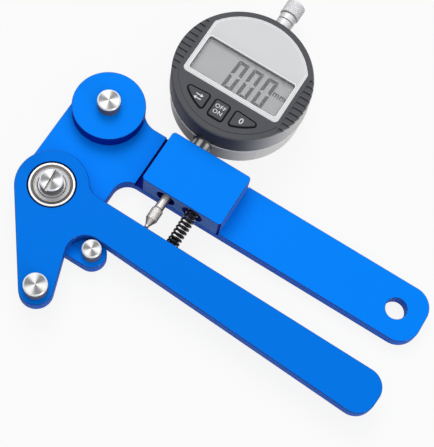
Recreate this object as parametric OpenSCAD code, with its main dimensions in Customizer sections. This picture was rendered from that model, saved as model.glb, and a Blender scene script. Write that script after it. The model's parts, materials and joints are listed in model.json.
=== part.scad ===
// Spoke tension meter: two pivoting arm plates, three posts that bend a
// spoke, a return spring and a digital plunger gauge.
// The origin is on the pivot axis at the front arm's outer face: +Z is the
// face normal, +X runs along the handles and +Y points to the gauge.

/* [Arm plates] */
// Thickness of each arm plate
plate_t = 6; // [4:0.5:8]
// Clearance between the two plates
plate_gap = 0.4; // [0.3:0.1:1]
// Radius of the rounded plate ends at the pivot and under the disc
boss_r = 15.2; // [14:0.1:17]
// Width of the back handle
handle_w = 25; // [20:0.5:28]
// Height of the back handle's lower edge above the pivot
handle_y = 21; // [19:0.5:24]
// Distance from the pivot to the end of the back handle
back_len = 157.6; // [130:0.2:190]
// Distance from the pivot to the end of the front handle
front_len = 156.4; // [130:0.2:190]
// Corner radius of the back handle's end
back_corner_r = 9; // [4:0.5:11]
// Corner radius of the front handle's end
front_corner_r = 8; // [4:0.5:9]
// Diameter of the hanging hole
hang_d = 9; // [5:0.5:14]
// Distance from the hanging hole's centre to the handle's end
hang_inset = 12.6; // [10:0.2:20]
// Depth of the channel that locates the gauge block
channel_d = 1.6; // [0.4:0.1:2]
// Width of the channel left open beside the block
channel_gap = 1.5; // [0.5:0.1:2.5]

/* [Front arm] */
// Height of the handle's upper edge above the pivot at the boss
front_top_y = 5.6; // [4:0.1:8]
// Fall of the upper edge towards the handle's end
front_top_fall = 1.6; // [0:0.1:2]
// Further fall of the lower edge towards the handle's end
front_low_fall = 6; // [3:0.1:8]
// Radius of the leg's round end
leg_r = 7; // [6:0.1:9]
// Radius of the notch that clears the stop pin
notch_r = 8.2; // [7.5:0.1:9]
// Fillet between the pivot boss and the handle
shoulder_r = 7; // [4:0.5:10]

/* [Posts] */
// Diameter of the three spoke posts
post_d = 9.8; // [8.4:0.1:10.4]
// Height of the outer posts above the front face
post_h = 5.4; // [3:0.1:8]
// Height of the middle post above the front face
mid_post_h = 9; // [6:0.1:12]
// Edge chamfer on the post heads
post_chamfer = 0.45; // [0.2:0.05:0.8]
// Height of the upper post above the pivot
top_post_y = 42.4; // [38:0.2:50]
// Diameter of the disc under the upper post
disc_d = 31; // [26:0.2:36]
// Leg post: distance along the handle direction
leg_x = 19.2; // [16:0.2:22]
// Leg post: distance below the pivot
leg_y = 39.8; // [36:0.2:46]
// Diameter of the stop pin
stop_d = 8; // [6:0.1:9]
// Stop pin: distance along the handle direction
stop_x = 28.4; // [26:0.1:32]
// Stop pin: distance below the pivot
stop_y = 14; // [13:0.1:16]
// Radius of the plate's lobe round the stop pin
lobe_r = 6.2; // [5:0.1:8]
// Width of the screwdriver slot
slot_w = 1.3; // [0.8:0.1:2]
// Depth of the screwdriver slot
slot_d = 1.6; // [0.8:0.1:2.5]
// Turn of the slot about the post
slot_turn = 95; // [0:1:180]

/* [Bearing] */
// Outer diameter of the ball bearing
bearing_d = 19; // [17:0.5:22]
// Bore of the ball bearing
bearing_bore = 8; // [6:0.5:8]
// Ball diameter
ball_d = 3; // [2.4:0.1:3.2]
// Number of balls
ball_n = 9; // [7:1:10]
// Play between the balls and the inner race
ball_play = 0.05; // [0.02:0.01:0.09]

/* [Gauge block] */
// Length of the gauge block along the handle
block_l = 37.7; // [32:0.1:44]
// Height of the gauge block above the back plate
block_h = 10; // [9.4:0.1:14]
// Start of the gauge block along the handle
block_x = 29.5; // [28:0.1:32]
// Upright corner radius of the block
block_r = 1.6; // [0.5:0.1:3]
// Height of the stem's axis above the back plate
stem_rise = 4; // [3.8:0.1:5]
// Diameter of the gauge stem
stem_d = 8; // [6:0.1:8]
// Stem position along the handle
stem_x = 41.5; // [38:0.1:44]
// Diameter of the spring pocket
pocket_d = 6.8; // [6.2:0.1:7.5]
// Depth of the spring pocket
pocket_depth = 9; // [6:0.5:14]
// Spring position along the handle
spring_x = 54.2; // [52:0.1:58]
// Outer diameter of the return spring
spring_d = 5.8; // [4:0.1:6]
// Wire diameter of the return spring
spring_wire = 1; // [0.5:0.05:1.1]
// Pitch of the return spring
spring_pitch = 1.75; // [1.3:0.05:2.5]

/* [Gauge] */
// How far the bezel stands out round the gauge case
bezel_over = 0.9; // [0.4:0.1:1.2]
// Depth of the bezel
bezel_h = 11; // [8:0.5:14]
// Diameter of the gauge case behind the bezel
case_d = 58; // [57:0.2:61]
// Height of the gauge's face above the front arm's face
face_z = 12; // [10:0.5:15]
// Depth of the whole gauge from face to back
gauge_depth = 24; // [22:0.5:30]
// Wall thickness of the case
case_wall = 2; // [1.5:0.1:3]
// Distance from the block to the gauge's centre
gauge_rise = 34.2; // [33:0.2:40]
// Stem length between the block's far edge and its lower end
stem_seat = 17; // [12:0.5:22]
// Radius of the silver display frame's arc
frame_r = 27.2; // [25:0.1:28]
// Half width of the display frame
frame_half_w = 22.8; // [20:0.1:24]
// Distance from the gauge's centre down to the frame's lower edge
frame_low = 11.6; // [8:0.1:13]
// Width of the display window
window_w = 41.8; // [34:0.1:43]
// Height of the display window
window_h = 17.6; // [12:0.1:20]
// Distance from the gauge's centre down to the window's lower edge
window_low = 9.4; // [7:0.1:11]
// How far the buttons stand out of the bezel
button_proud = 0.5; // [0.2:0.1:1.5]
// Travel of a button
button_travel = 0.4; // [0.2:0.1:0.6]
// Number of grip notches on each flank
notch_n = 10; // [6:1:11]
// Diameter of the plunger rod
rod_d = 4; // [3:0.1:4.4]
// Diameter of the contact point's barrel
point_d = 5; // [4:0.1:5.6]
// Length of the contact point with its cone
point_l = 10; // [7:0.5:12]
// Radius of the contact point's tip
tip_r = 1; // [0.6:0.1:1.4]
// Diameter of the knurled lifting cap
cap_d = 8.8; // [7.5:0.1:10]
// Length of the cap's knurled part
cap_l = 7.3; // [5:0.1:12]
// Length of the cap's plain collar
collar_l = 3; // [1:0.5:5]
// Number of knurl flutes on the cap
cap_flutes = 24; // [12:2:30]
// Play of the plunger in its bushes
rod_play = 0.05; // [0.02:0.01:0.1]
// Length of the neck bush above the case
neck_l = 9.6; // [8:0.2:14]

/* [Fasteners] */
// Thread diameter of the post screws
post_screw_d = 5; // [4:0.5:5]
// Head diameter of the post screws
post_head_d = 9.2; // [8:0.1:10]
// Thread diameter of the block screws
block_screw_d = 4; // [3:0.5:4]
// Head diameter of the block screws
block_head_d = 7.6; // [6.6:0.1:8]
// Diameter of the screws in the back cover
cover_screw_d = 2; // [1.6:0.1:2.5]

/* [Hidden] */
$fn = 96;
eps = 0.01;

// Levels of the plates and the gauge along Z
front_z = -plate_t;
back_top_z = front_z - plate_gap;
back_z = back_top_z - plate_t;
gauge_z = back_top_z + stem_rise;
block_low_z = back_top_z - channel_d;
block_t = block_h + channel_d;
handle_top_y = handle_y + handle_w;

// Fits
free_play = 0.3;

// Outline of the back arm
body_x = 20.8;
window_r = 7;
neck_r = 9.5;
web_r = 3;
lobe_fillet_r = 4;
lobe_fillet_y = 2;
lobe_reach = 17.4;
fillet_slack = 0.02;
touch = 0.003;
neck_cy = handle_top_y + neck_r;
neck_cx = sqrt(pow(boss_r + neck_r + fillet_slack, 2) - pow(neck_cy - top_post_y, 2));
hang_x = back_len - hang_inset;
hang_y = handle_y + handle_w / 2;

// Outline of the front arm: its lower edge and the notch clear the stop pin
front_low_y = stop_y - stop_d / 2 - 0.4;
notch_x = stop_x - 0.6;
notch_y = front_low_y + notch_r;
shoulder_cy = front_top_y + shoulder_r;
shoulder_cx = sqrt(pow(boss_r + shoulder_r + fillet_slack, 2) - pow(shoulder_cy, 2));
end_x = front_len - front_corner_r;
front_shoulder = [shoulder_cx, shoulder_cy, -shoulder_r];
front_end_top = [end_x, front_top_y - front_top_fall - front_corner_r, front_corner_r];
front_end_low = [end_x - 0.3, front_corner_r - front_low_y - front_low_fall, front_corner_r];
front_edge = tangent(front_end_top, front_shoulder);

// Posts and their screws
post_bore_r = post_screw_d / 2 + 0.1;
post_hex = 0.6 * post_screw_d;
edge_cut = 0.4;
stop_h = plate_t + plate_gap - 0.4;

// Bearing
bearing_w = plate_t;
race_r = (bearing_d + bearing_bore) / 4;
outer_ring_r = race_r + ball_d * 0.23;
inner_ring_r = race_r - ball_d * 0.36;
groove_r = ball_d / 2 + ball_play;
ring_face_w = 0.9;
ring_slope_h = 0.6;
shield_t = 0.3;
shield_sink = 0.4;

// Gauge block
set_screw_d = 3;
block_screw_end = 3;
screw_in = 5.2;
screw_end_in = 7;
block_hex = 2.5;
pocket_mouth = 1.4;

// Gauge places
gauge_x = stem_x;
gauge_y = handle_top_y + gauge_rise;
case_back_z = face_z - gauge_depth;
cover_t = 1.4;
bezel_back_z = face_z - bezel_h;
bezel_wall = 1.2;
face_t = 2.4;
frame_t = 1;
glass_t = 0.8;
frame_rim_w = 1.1;
frame_rim_h = 0.25;
pocket_z = face_z - face_t;
stem_low_y = handle_top_y - stem_seat;
case_r = case_d / 2;
bezel_r = case_r + bezel_over;
boss_h = 1.2;
boss_d = stem_d + 2;
boss_in = 2;
case_lip = 2;
neck_d = 7.6;
cover_screw_l = 6;
cover_head_h = 0.8;
cover_boss_r = 2.6;
cross_w = 0.4;
cover_boss_h = 8;
cover_screw_r = case_r - case_wall - 1.6;
notch_pitch = 2.9;
notch_mid = 0.45;
notch_ramp = 2.6;
notch_depth = 0.6;
notch_in = frame_half_w + 1.8;
notch_l = bezel_r - notch_in + 1;

// Battery, circuit board and display panel
battery_d = 12;
battery_h = 5;
battery_y = -13;
cell_step_h = 0.6;
cell_step_w = 1.5;
coin_slot_w = 1.2;
coin_slot_t = 0.7;
board_hole_d = 2.4;
board_hole_in = 5;
panel_t = 2.2;
panel_over = 1;
board_t = 1.2;
board_z = pocket_z - panel_t - board_t;

// Buttons: the side ones are rounded triangles whose outer side follows an arc about the gauge
button_top = -15.8;
middle_low = -23.5;
button_arc_r = 23.8;
button_gap = 3.2;
button_play = 0.15;
button_r = 0.9;
middle_w = 6.4;
side_w = 9.6;
side_x = middle_w / 2 + button_gap;
flange_w = 0.9;
flange_t = 0.8;
pad_d = 4;
pad_x = side_x + side_w / 3;

// Fine groove in the bezel's face below the display
face_groove_r = 27;
face_groove_w = 0.4;
face_groove_t = 0.25;

// Plunger: its tip stands just clear of the front arm's edge
tip_y = front_edge_y(stem_x) + free_play;
rod_low_y = tip_y + point_l;
stub_l = 3;
stub_d = 2.5;
shoulder_l = 0.5;
neck_top_y = gauge_y + case_r + neck_l;
cap_low_y = neck_top_y + free_play;
cap_top_y = cap_low_y + collar_l + cap_l;

// Spring
spring_low_y = front_edge_y(spring_x + spring_d / 2) + eps;
spring_high_y = handle_y + pocket_depth;
pin_r = spring_d / 2 - spring_wire - 0.25;
pin_h = 4;

// Two circles [x, y, r] are joined by the tangent on the right of the way from the first to the
// second; a negative r is a fillet, passed on its other side. The line ends a hair inside both
// circles, so that each meets it in one clean corner. Gives the line's two end points.
function tangent(a, b) = let (
  ra = a[2] - touch * sign(a[2]),
  rb = b[2] - touch * sign(b[2]),
  d = [b[0] - a[0], b[1] - a[1]],
  way = atan2(d[1], d[0]) + asin((ra - rb) / norm(d)),
  n = [sin(way), -cos(way)])
  [[a[0], a[1]] + ra * n, [b[0], b[1]] + rb * n];

// Height of the front arm's upper edge at x
function front_edge_y(x) = front_edge[0][1]
  + (front_edge[1][1] - front_edge[0][1]) * (x - front_edge[0][0]) / (front_edge[1][0] - front_edge[0][0]);

// Outline that runs round the given circles like a belt
module belt(circles) {
  n = len(circles);
  difference() {
    union() {
      polygon([for (i = [0 : n - 1]) each tangent(circles[i], circles[(i + 1) % n])]);
      for (c = circles) if (c[2] > 0) translate([c[0], c[1]]) circle(c[2]);
    }
    for (c = circles) if (c[2] < 0) translate([c[0], c[1]]) circle(-c[2]);
  }
}

// Turns a solid along Z into one along +Y through (x, y, gauge_z)
module along_y(x, y) {
  translate([x, y, gauge_z]) rotate([-90, 0, 0]) children();
}

module plate(z, t) {
  translate([0, 0, z]) linear_extrude(t) children();
}

module rounded_rect(w, h, r) {
  square([w - 2 * r, h], center = true);
  square([w, h - 2 * r], center = true);
  for (sx = [-1, 1], sy = [-1, 1]) translate([sx * (w / 2 - r), sy * (h / 2 - r)]) circle(r);
}

// Countersunk machine screw along +Z, head at the bottom
module countersunk_screw(d, head_d, len, hex) {
  difference() {
    union() {
      cylinder(h = 0.4, d = head_d);
      translate([0, 0, 0.4]) cylinder(h = (head_d - d) / 2, d1 = head_d, d2 = d);
      cylinder(h = len, d = d);
    }
    translate([0, 0, -eps]) cylinder(h = 1.6, d = hex / cos(30), $fn = 6);
  }
}

module countersink(d, head_d) {
  translate([0, 0, -eps]) cylinder(h = 0.5 + eps, d = head_d + 0.4);
  translate([0, 0, 0.5]) cylinder(h = (head_d + 0.4 - d) / 2, d1 = head_d + 0.4, d2 = d);
}

// Turned post with a chamfered head, from z0 up to z1
module post_shape(d, z0, z1) {
  translate([0, 0, z0]) cylinder(h = z1 - z0 - post_chamfer, d = d);
  translate([0, 0, z1 - post_chamfer]) cylinder(h = post_chamfer, d1 = d, d2 = d - 2 * post_chamfer);
}

// ---- Back arm -------------------------------------------------------------

module back_outline() {
  difference() {
    belt([
      [0, 0, boss_r],
      [stop_x - lobe_reach, web_r - stop_y - lobe_r, web_r],
      [stop_x, -stop_y, lobe_r],
      [body_x + lobe_fillet_r, lobe_fillet_y, -lobe_fillet_r],
      [body_x + window_r, handle_y - window_r, -window_r],
      [back_len - back_corner_r, handle_y + back_corner_r, back_corner_r],
      [back_len - back_corner_r, handle_top_y - back_corner_r, back_corner_r],
      [neck_cx, neck_cy, -neck_r],
      [0, top_post_y, boss_r]
    ]);
    translate([hang_x, hang_y]) circle(d = hang_d);
  }
}

module back_arm() {
  color([0.02, 0.45, 0.93]) difference() {
    plate(back_z, plate_t) back_outline();
    // Channel for the gauge block, open across the handle
    translate([block_x - channel_gap, handle_y - 1, block_low_z])
      cube([channel_gap + block_l, handle_w + 2, channel_d + eps]);
    // Screw holes of the two posts and the stop pin, sunk from behind
    for (p = [[0, top_post_y], [0, 0], [stop_x, -stop_y]]) translate([p[0], p[1], back_z]) {
      cylinder(h = plate_t + 2 * eps, r = post_bore_r);
      countersink(2 * post_bore_r, post_head_d);
    }
    // Screws that hold the gauge block
    for (p = block_screw_places()) translate([p[0], p[1], back_z]) {
      cylinder(h = plate_t + 2 * eps, d = block_screw_d + 0.2);
      countersink(block_screw_d + 0.2, block_head_d);
    }
    // Access to the set screw of the gauge stem
    translate([stem_x, set_screw_y(), back_z - eps]) cylinder(h = plate_t + 2 * eps, d = set_screw_d + 0.4);
  }
}

// ---- Front arm ------------------------------------------------------------

module front_outline() {
  difference() {
    belt([
      [0, 0, boss_r],
      [leg_x, -leg_y, leg_r],
      [notch_x, -notch_y, -notch_r],
      front_end_low,
      front_end_top,
      front_shoulder
    ]);
    circle(d = bearing_d);
  }
}

module front_arm() {
  color([0.02, 0.4, 0.86]) difference() {
    plate(front_z, plate_t) front_outline();
    translate([leg_x, -leg_y, front_z]) {
      cylinder(h = plate_t + 2 * eps, r = post_bore_r);
      countersink(2 * post_bore_r, post_head_d);
    }
    // Broken edge of the bearing's bore
    translate([0, 0, -edge_cut]) cylinder(h = edge_cut + eps, d1 = bearing_d, d2 = bearing_d + 2 * edge_cut);
    // Hole for the pin that holds the spring
    along_y(spring_x, spring_low_y - pin_h) cylinder(h = 2 * pin_h, r = pin_r);
  }
}

// ---- Posts ----------------------------------------------------------------

module post_disc() {
  color([0.02, 0.5, 0.98]) translate([0, top_post_y, back_top_z]) difference() {
    union() {
      cylinder(h = plate_t + plate_gap - edge_cut, d = disc_d);
      translate([0, 0, plate_t + plate_gap - edge_cut])
        cylinder(h = edge_cut, d1 = disc_d, d2 = disc_d - 2 * edge_cut);
    }
    translate([0, 0, -eps]) cylinder(h = plate_t + plate_gap + 2 * eps, r = post_bore_r);
  }
}

// Post that stands on a face at z = 0 and takes a screw from behind
module screwed_post(x, y) {
  color([0.86, 0.86, 0.88]) translate([x, y, 0]) difference() {
    post_shape(post_d, 0, post_h);
    translate([0, 0, -eps]) cylinder(h = post_h - 1.6, d = post_screw_d);
  }
}

module top_post() { screwed_post(0, top_post_y); }

module leg_post() { screwed_post(leg_x, -leg_y); }

module middle_post() {
  color([0.84, 0.84, 0.86]) difference() {
    union() {
      post_shape(post_d, 0, mid_post_h);
      translate([0, 0, back_top_z]) cylinder(h = -back_top_z + eps, d = bearing_bore);
    }
    translate([0, 0, back_top_z - eps]) cylinder(h = -back_top_z - 1, d = post_screw_d);
    rotate(slot_turn) translate([-post_d, -slot_w / 2, mid_post_h - slot_d])
      cube([2 * post_d, slot_w, slot_d + 1]);
  }
}

module stop_pin() {
  color([0.86, 0.86, 0.88]) translate([stop_x, -stop_y, back_top_z]) difference() {
    post_shape(stop_d, 0, stop_h);
    translate([0, 0, -eps]) cylinder(h = stop_h - 1.6, d = post_screw_d);
  }
}

// Screws of the upper post, the middle post and the stop pin, each in its tapped hole
module back_post_screws() {
  color([0.3, 0.3, 0.32]) {
    translate([0, top_post_y, back_z])
      countersunk_screw(post_screw_d, post_head_d, -back_z + post_h - 2.4, post_hex);
    translate([0, 0, back_z]) countersunk_screw(post_screw_d, post_head_d, -back_z - 1.6, post_hex);
    translate([stop_x, -stop_y, back_z])
      countersunk_screw(post_screw_d, post_head_d, plate_t + stop_h - 2.4, post_hex);
  }
}

module leg_post_screw() {
  color([0.3, 0.3, 0.32]) translate([leg_x, -leg_y, front_z])
    countersunk_screw(post_screw_d, post_head_d, plate_t + post_h - 2.4, post_hex);
}

module pivot_spacer() {
  color([0.75, 0.75, 0.77]) translate([0, 0, back_top_z]) difference() {
    cylinder(h = plate_gap, d = 2 * inner_ring_r);
    translate([0, 0, -eps]) cylinder(h = plate_gap + 2 * eps, d = bearing_bore);
  }
}

// ---- Bearing --------------------------------------------------------------

module bearing_outer_ring() {
  rim_r = bearing_d / 2;
  lip_r = rim_r - ring_face_w;
  color([0.8, 0.8, 0.82]) rotate_extrude() difference() {
    polygon([[outer_ring_r, front_z + ring_slope_h], [lip_r, front_z + ring_slope_h / 2],
             [lip_r, front_z], [rim_r - 0.3, front_z], [rim_r, front_z + 0.3],
             [rim_r, -0.3], [rim_r - 0.3, 0], [lip_r, 0], [lip_r, -ring_slope_h / 2],
             [outer_ring_r, -ring_slope_h]]);
    translate([race_r, front_z / 2]) circle(groove_r);
  }
}

module bearing_inner_ring() {
  color([0.8, 0.8, 0.82]) rotate_extrude() difference() {
    translate([bearing_bore / 2, front_z]) square([inner_ring_r - bearing_bore / 2, bearing_w]);
    translate([race_r, front_z / 2]) circle(groove_r);
  }
}

module bearing_balls() {
  color([0.88, 0.88, 0.9]) for (i = [0 : ball_n - 1])
    rotate(360 * i / ball_n) translate([race_r + ball_play / 2, 0, front_z / 2]) sphere(d = ball_d, $fn = 32);
}

module bearing_cage() {
  cage_h = ball_d + 1;
  cage_half_w = 0.3;
  color([0.7, 0.6, 0.35]) difference() {
    translate([0, 0, (front_z - cage_h) / 2]) difference() {
      cylinder(h = cage_h, r = race_r + cage_half_w);
      translate([0, 0, -eps]) cylinder(h = cage_h + 2 * eps, r = race_r - cage_half_w);
    }
    for (i = [0 : ball_n - 1]) rotate(360 * i / ball_n) translate([race_r, 0, front_z / 2])
      rotate([0, 90, 0]) cylinder(h = 2, d = ball_d + 0.2, center = true);
  }
}

module bearing_shields() {
  color([0.72, 0.72, 0.73]) for (z = [-shield_sink - shield_t, front_z + shield_sink])
    translate([0, 0, z]) difference() {
      cylinder(h = shield_t, r = outer_ring_r);
      translate([0, 0, -eps]) cylinder(h = shield_t + 2 * eps, r = inner_ring_r + free_play);
    }
}

// ---- Gauge block, spring and stem -----------------------------------------

function block_screw_places() = [
  [block_x + screw_in, hang_y], [block_x + block_l - screw_end_in, hang_y]];
function set_screw_y() = handle_top_y - stem_seat / 2 + 1;

module gauge_block() {
  color([0.02, 0.5, 0.98]) difference() {
    plate(block_low_z, block_t) translate([block_x + block_l / 2, hang_y])
      rounded_rect(block_l, handle_w, block_r);
    along_y(stem_x, handle_y - 1) cylinder(h = handle_w + 2, d = stem_d);
    along_y(stem_x, handle_y - eps) cylinder(h = 0.4, d1 = stem_d + 0.8, d2 = stem_d);
    along_y(spring_x, handle_y - 1) cylinder(h = pocket_depth + 1, d = pocket_d);
    along_y(spring_x, handle_y - eps)
      cylinder(h = pocket_mouth, d1 = pocket_d + 2 * pocket_mouth, d2 = pocket_d);
    for (p = block_screw_places()) translate([p[0], p[1], block_low_z - eps])
      cylinder(h = block_t - 2, d = block_screw_d);
    translate([stem_x, set_screw_y(), block_low_z - 1]) cylinder(h = block_t / 2, d = set_screw_d);
  }
}

module block_screws() {
  color([0.3, 0.3, 0.32]) for (p = block_screw_places())
    translate([p[0], p[1], back_z])
      countersunk_screw(block_screw_d, block_head_d, plate_t + block_h - block_screw_end, block_hex);
}

module stem_set_screw() {
  seat_z = gauge_z - stem_d / 2;
  color([0.25, 0.25, 0.27]) translate([stem_x, set_screw_y(), back_z + 1]) difference() {
    cylinder(h = seat_z - back_z - 1, d = set_screw_d);
    translate([0, 0, -eps]) cylinder(h = 1.5, d = 1.5 / cos(30), $fn = 6);
  }
}

module spring_pin() {
  color([0.8, 0.8, 0.82]) along_y(spring_x, spring_low_y - pin_h) cylinder(h = 2 * pin_h - 0.6, r = pin_r);
}

// One closed tube swept along the helix, with flat ends
module return_spring() {
  turns = (spring_high_y - spring_low_y - spring_wire) / spring_pitch;
  r = spring_d / 2 - spring_wire / 2;
  steps = 16;
  sides = 8;
  n = floor(turns * steps);
  function centre(i) = [r * cos(360 * i / steps), r * sin(360 * i / steps), spring_pitch * i / steps];
  ring = [for (i = [0 : n], j = [0 : sides - 1]) let (
    a = 360 * i / steps, b = 360 * j / sides, c = centre(i))
    [c[0] + spring_wire / 2 * cos(b) * cos(a), c[1] + spring_wire / 2 * cos(b) * sin(a),
     c[2] + spring_wire / 2 * sin(b)]];
  walls = [for (i = [0 : n - 1], j = [0 : sides - 1]) let (
    k = (j + 1) % sides) [i * sides + j, (i + 1) * sides + j, (i + 1) * sides + k, i * sides + k]];
  caps = [[for (j = [0 : sides - 1]) j], [for (j = [sides - 1 : -1 : 0]) n * sides + j]];
  color([0.08, 0.08, 0.09]) along_y(spring_x, spring_low_y + spring_wire / 2)
    polyhedron(ring, concat(walls, caps), convexity = 10);
}

module gauge_stem() {
  color([0.82, 0.82, 0.84]) difference() {
    along_y(stem_x, stem_low_y) cylinder(h = gauge_y - case_r + case_wall - stem_low_y, d = stem_d);
    along_y(stem_x, stem_low_y - 1) cylinder(h = gauge_y - stem_low_y, d = rod_d + 2 * rod_play);
  }
}

// ---- Gauge case -----------------------------------------------------------

module at_gauge(z) { translate([gauge_x, gauge_y, z]) children(); }

module gauge_case() {
  depth = bezel_back_z - case_back_z;
  color([0.25, 0.26, 0.32]) difference() {
    union() {
      at_gauge(case_back_z) cylinder(h = depth, r = case_r);
      at_gauge(bezel_back_z - eps) cylinder(h = case_lip, r = bezel_r - bezel_wall - 0.05);
      along_y(gauge_x, gauge_y - case_r - boss_h) cylinder(h = boss_h + boss_in, d = boss_d);
      along_y(gauge_x, gauge_y + case_r - boss_in) cylinder(h = boss_h + boss_in, d = boss_d);
    }
    at_gauge(case_back_z + cover_t) cylinder(h = depth + case_lip, r = case_r - case_wall);
    at_gauge(case_back_z - eps) cylinder(h = cover_t + 2 * eps, r = case_r - 1);
    along_y(gauge_x, gauge_y - case_r - boss_h - eps)
      cylinder(h = boss_h + 2 * boss_in + case_wall, d = stem_d);
    along_y(gauge_x, gauge_y + case_r - 2 * boss_in - case_wall)
      cylinder(h = boss_h + 2 * boss_in + case_wall + eps, d = neck_d);
  }
  color([0.25, 0.26, 0.32]) for (a = cover_screw_angles()) at_gauge(case_back_z + cover_t)
    rotate(a) translate([cover_screw_r, 0, 0]) difference() {
      cylinder(h = cover_boss_h, r = cover_boss_r);
      translate([0, 0, -eps]) cylinder(h = cover_screw_l, d = cover_screw_d);
    }
}

function cover_screw_angles() = [45, 135, 225, 315];

module back_cover() {
  color([0.2, 0.21, 0.24]) at_gauge(case_back_z) difference() {
    cylinder(h = cover_t, r = case_r - 1);
    for (a = cover_screw_angles()) rotate(a) translate([cover_screw_r, 0, -eps]) {
      cylinder(h = cover_t + 2 * eps, d = cover_screw_d + 0.2);
      cylinder(h = cover_head_h + 2 * eps, d = 2 * cover_screw_d + 0.2);
    }
    translate([0, battery_y, -eps]) cylinder(h = cover_t + 2 * eps, d = battery_d + 1);
  }
}

module cover_screws() {
  color([0.75, 0.75, 0.77]) for (a = cover_screw_angles()) at_gauge(case_back_z) rotate(a)
    translate([cover_screw_r, 0, 0]) difference() {
      union() {
        cylinder(h = cover_head_h, d = 2 * cover_screw_d);
        cylinder(h = cover_screw_l, d = cover_screw_d);
      }
      for (t = [0, 90]) rotate(t) translate([-cover_screw_d, -cross_w / 2, -eps])
        cube([2 * cover_screw_d, cross_w, cross_w]);
    }
}

module battery_cover() {
  color([0.18, 0.18, 0.2]) at_gauge(case_back_z) translate([0, battery_y, 0]) difference() {
    cylinder(h = cover_t, d = battery_d + 0.8);
    translate([-battery_d / 3, -coin_slot_w / 2, -eps]) cube([battery_d / 1.5, coin_slot_w, coin_slot_t]);
  }
}

module battery_cell() {
  color([0.78, 0.78, 0.8]) at_gauge(case_back_z + cover_t) translate([0, battery_y, 0]) {
    cylinder(h = battery_h - cell_step_h, d = battery_d - 2 * free_play);
    translate([0, 0, battery_h - cell_step_h]) cylinder(h = cell_step_h, d = battery_d - 2 * cell_step_w);
  }
}

// Front housing: a cup whose face holds the display frame and the buttons
module gauge_bezel() {
  color([0.33, 0.33, 0.35]) difference() {
    at_gauge(bezel_back_z) {
      cylinder(h = bezel_h - 0.6, r = bezel_r);
      translate([0, 0, bezel_h - 0.6]) cylinder(h = 0.6, r1 = bezel_r, r2 = bezel_r - 0.5);
    }
    at_gauge(bezel_back_z - eps) cylinder(h = bezel_h - face_t + eps, r = bezel_r - bezel_wall);
    // Saddles over the case's two bosses
    along_y(gauge_x, gauge_y - bezel_r - 1) cylinder(h = 2 * bezel_r + 2, d = boss_d + 0.1);
    // Seat of the display frame and the opening behind the window
    at_gauge(face_z - frame_t) linear_extrude(frame_t + eps) frame_outline(0.05);
    at_gauge(pocket_z - 1) linear_extrude(face_t) translate([0, window_h / 2 - window_low])
      square([window_w - 2, window_h - 2], center = true);
    // Button openings
    at_gauge(pocket_z - 1) linear_extrude(face_t + 2) {
      side_button(-1, button_play);
      middle_button(button_play);
      side_button(1, button_play);
    }
    // Groove that follows the rim below the display
    at_gauge(face_z - face_groove_t) difference() {
      cylinder(h = 1, r = face_groove_r + face_groove_w / 2);
      translate([0, 0, -eps]) cylinder(h = 2, r = face_groove_r - face_groove_w / 2);
      translate([-bezel_r, -frame_low - 1, -eps]) cube([2 * bezel_r, 2 * bezel_r, 2]);
    }
    // Grip notches on both flanks: ramps that end in a step and run parallel to the handles
    for (s = [-1, 1], i = [0 : notch_n - 1])
      at_gauge(face_z) translate([s < 0 ? -notch_in - notch_l : notch_in,
                                  notch_mid + (i - (notch_n - 1) / 2) * notch_pitch, 0])
        rotate([90, 0, 90]) linear_extrude(notch_l)
          polygon([[0, eps], [-notch_ramp, eps], [0, -notch_depth]]);
  }
}

// Display frame: an arc cut by three straight edges with rounded corners
module frame_outline(grow) {
  w = frame_half_w + grow;
  low = frame_low + grow;
  corner_r = 2;
  intersection() {
    circle(frame_r + grow);
    translate([-w, -low + corner_r]) square([2 * w, frame_r + low]);
  }
  translate([-w + corner_r, -low]) square([2 * (w - corner_r), 2 * corner_r]);
  for (s = [-1, 1]) translate([s * (w - corner_r), -low + corner_r]) circle(corner_r);
}

module window_outline(grow) {
  translate([0, window_h / 2 - window_low]) rounded_rect(window_w + 2 * grow, window_h + 2 * grow, 1.2);
}

module display_frame() {
  color([0.86, 0.86, 0.87]) difference() {
    at_gauge(face_z - frame_t) linear_extrude(frame_t + frame_rim_h) frame_outline(0);
    at_gauge(face_z) linear_extrude(frame_t) frame_outline(-frame_rim_w);
    at_gauge(face_z - 2 * frame_t) linear_extrude(3 * frame_t) window_outline(0);
  }
}

module display_window() {
  color([0.75, 0.76, 0.76, 0.6]) at_gauge(face_z - frame_t) linear_extrude(glass_t) window_outline(-0.05);
}

module display_panel() {
  color([0.66, 0.67, 0.66]) at_gauge(pocket_z - panel_t) linear_extrude(panel_t)
    translate([0, window_h / 2 - window_low])
      square([window_w + 2 * panel_over, window_h + 2 * panel_over], center = true);
}

// Buttons ------------------------------------------------------------------

// Centre of a corner that touches the buttons' outer arc at x
function arc_corner(x) = [x, -sqrt(pow(button_arc_r - button_r + fillet_slack, 2) - x * x)];

// Outline of a side button; s is its side
module side_button(s, grow) {
  r = button_r + grow;
  inner = [side_x + button_r, button_top - button_r];
  low = arc_corner(side_x + button_r);
  far = arc_corner(side_x + side_w - button_r);
  mirror([s < 0 ? 1 : 0, 0]) {
    belt([for (c = [inner, low, far]) [c[0], c[1], r]]);
    intersection() {
      circle(button_arc_r + grow);
      polygon([low, 1.2 * low, 1.2 * far, far]);
    }
  }
}

module middle_button(grow) {
  translate([0, (button_top + middle_low) / 2])
    rounded_rect(middle_w + 2 * grow, button_top - middle_low + 2 * grow, button_r);
}

// Button cap through the face, with the flange that keeps it in below the face
module button_solid() {
  color([0.3, 0.3, 0.32]) {
    at_gauge(pocket_z - eps) linear_extrude(face_t + button_proud + eps) children(0);
    at_gauge(pocket_z - flange_t) linear_extrude(flange_t) children(1);
  }
}

module unit_button() {
  button_solid() {
    side_button(-1, 0);
    side_button(-1, flange_w);
  }
}

module power_button() {
  button_solid() {
    middle_button(0);
    middle_button(flange_w);
  }
}

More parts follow.
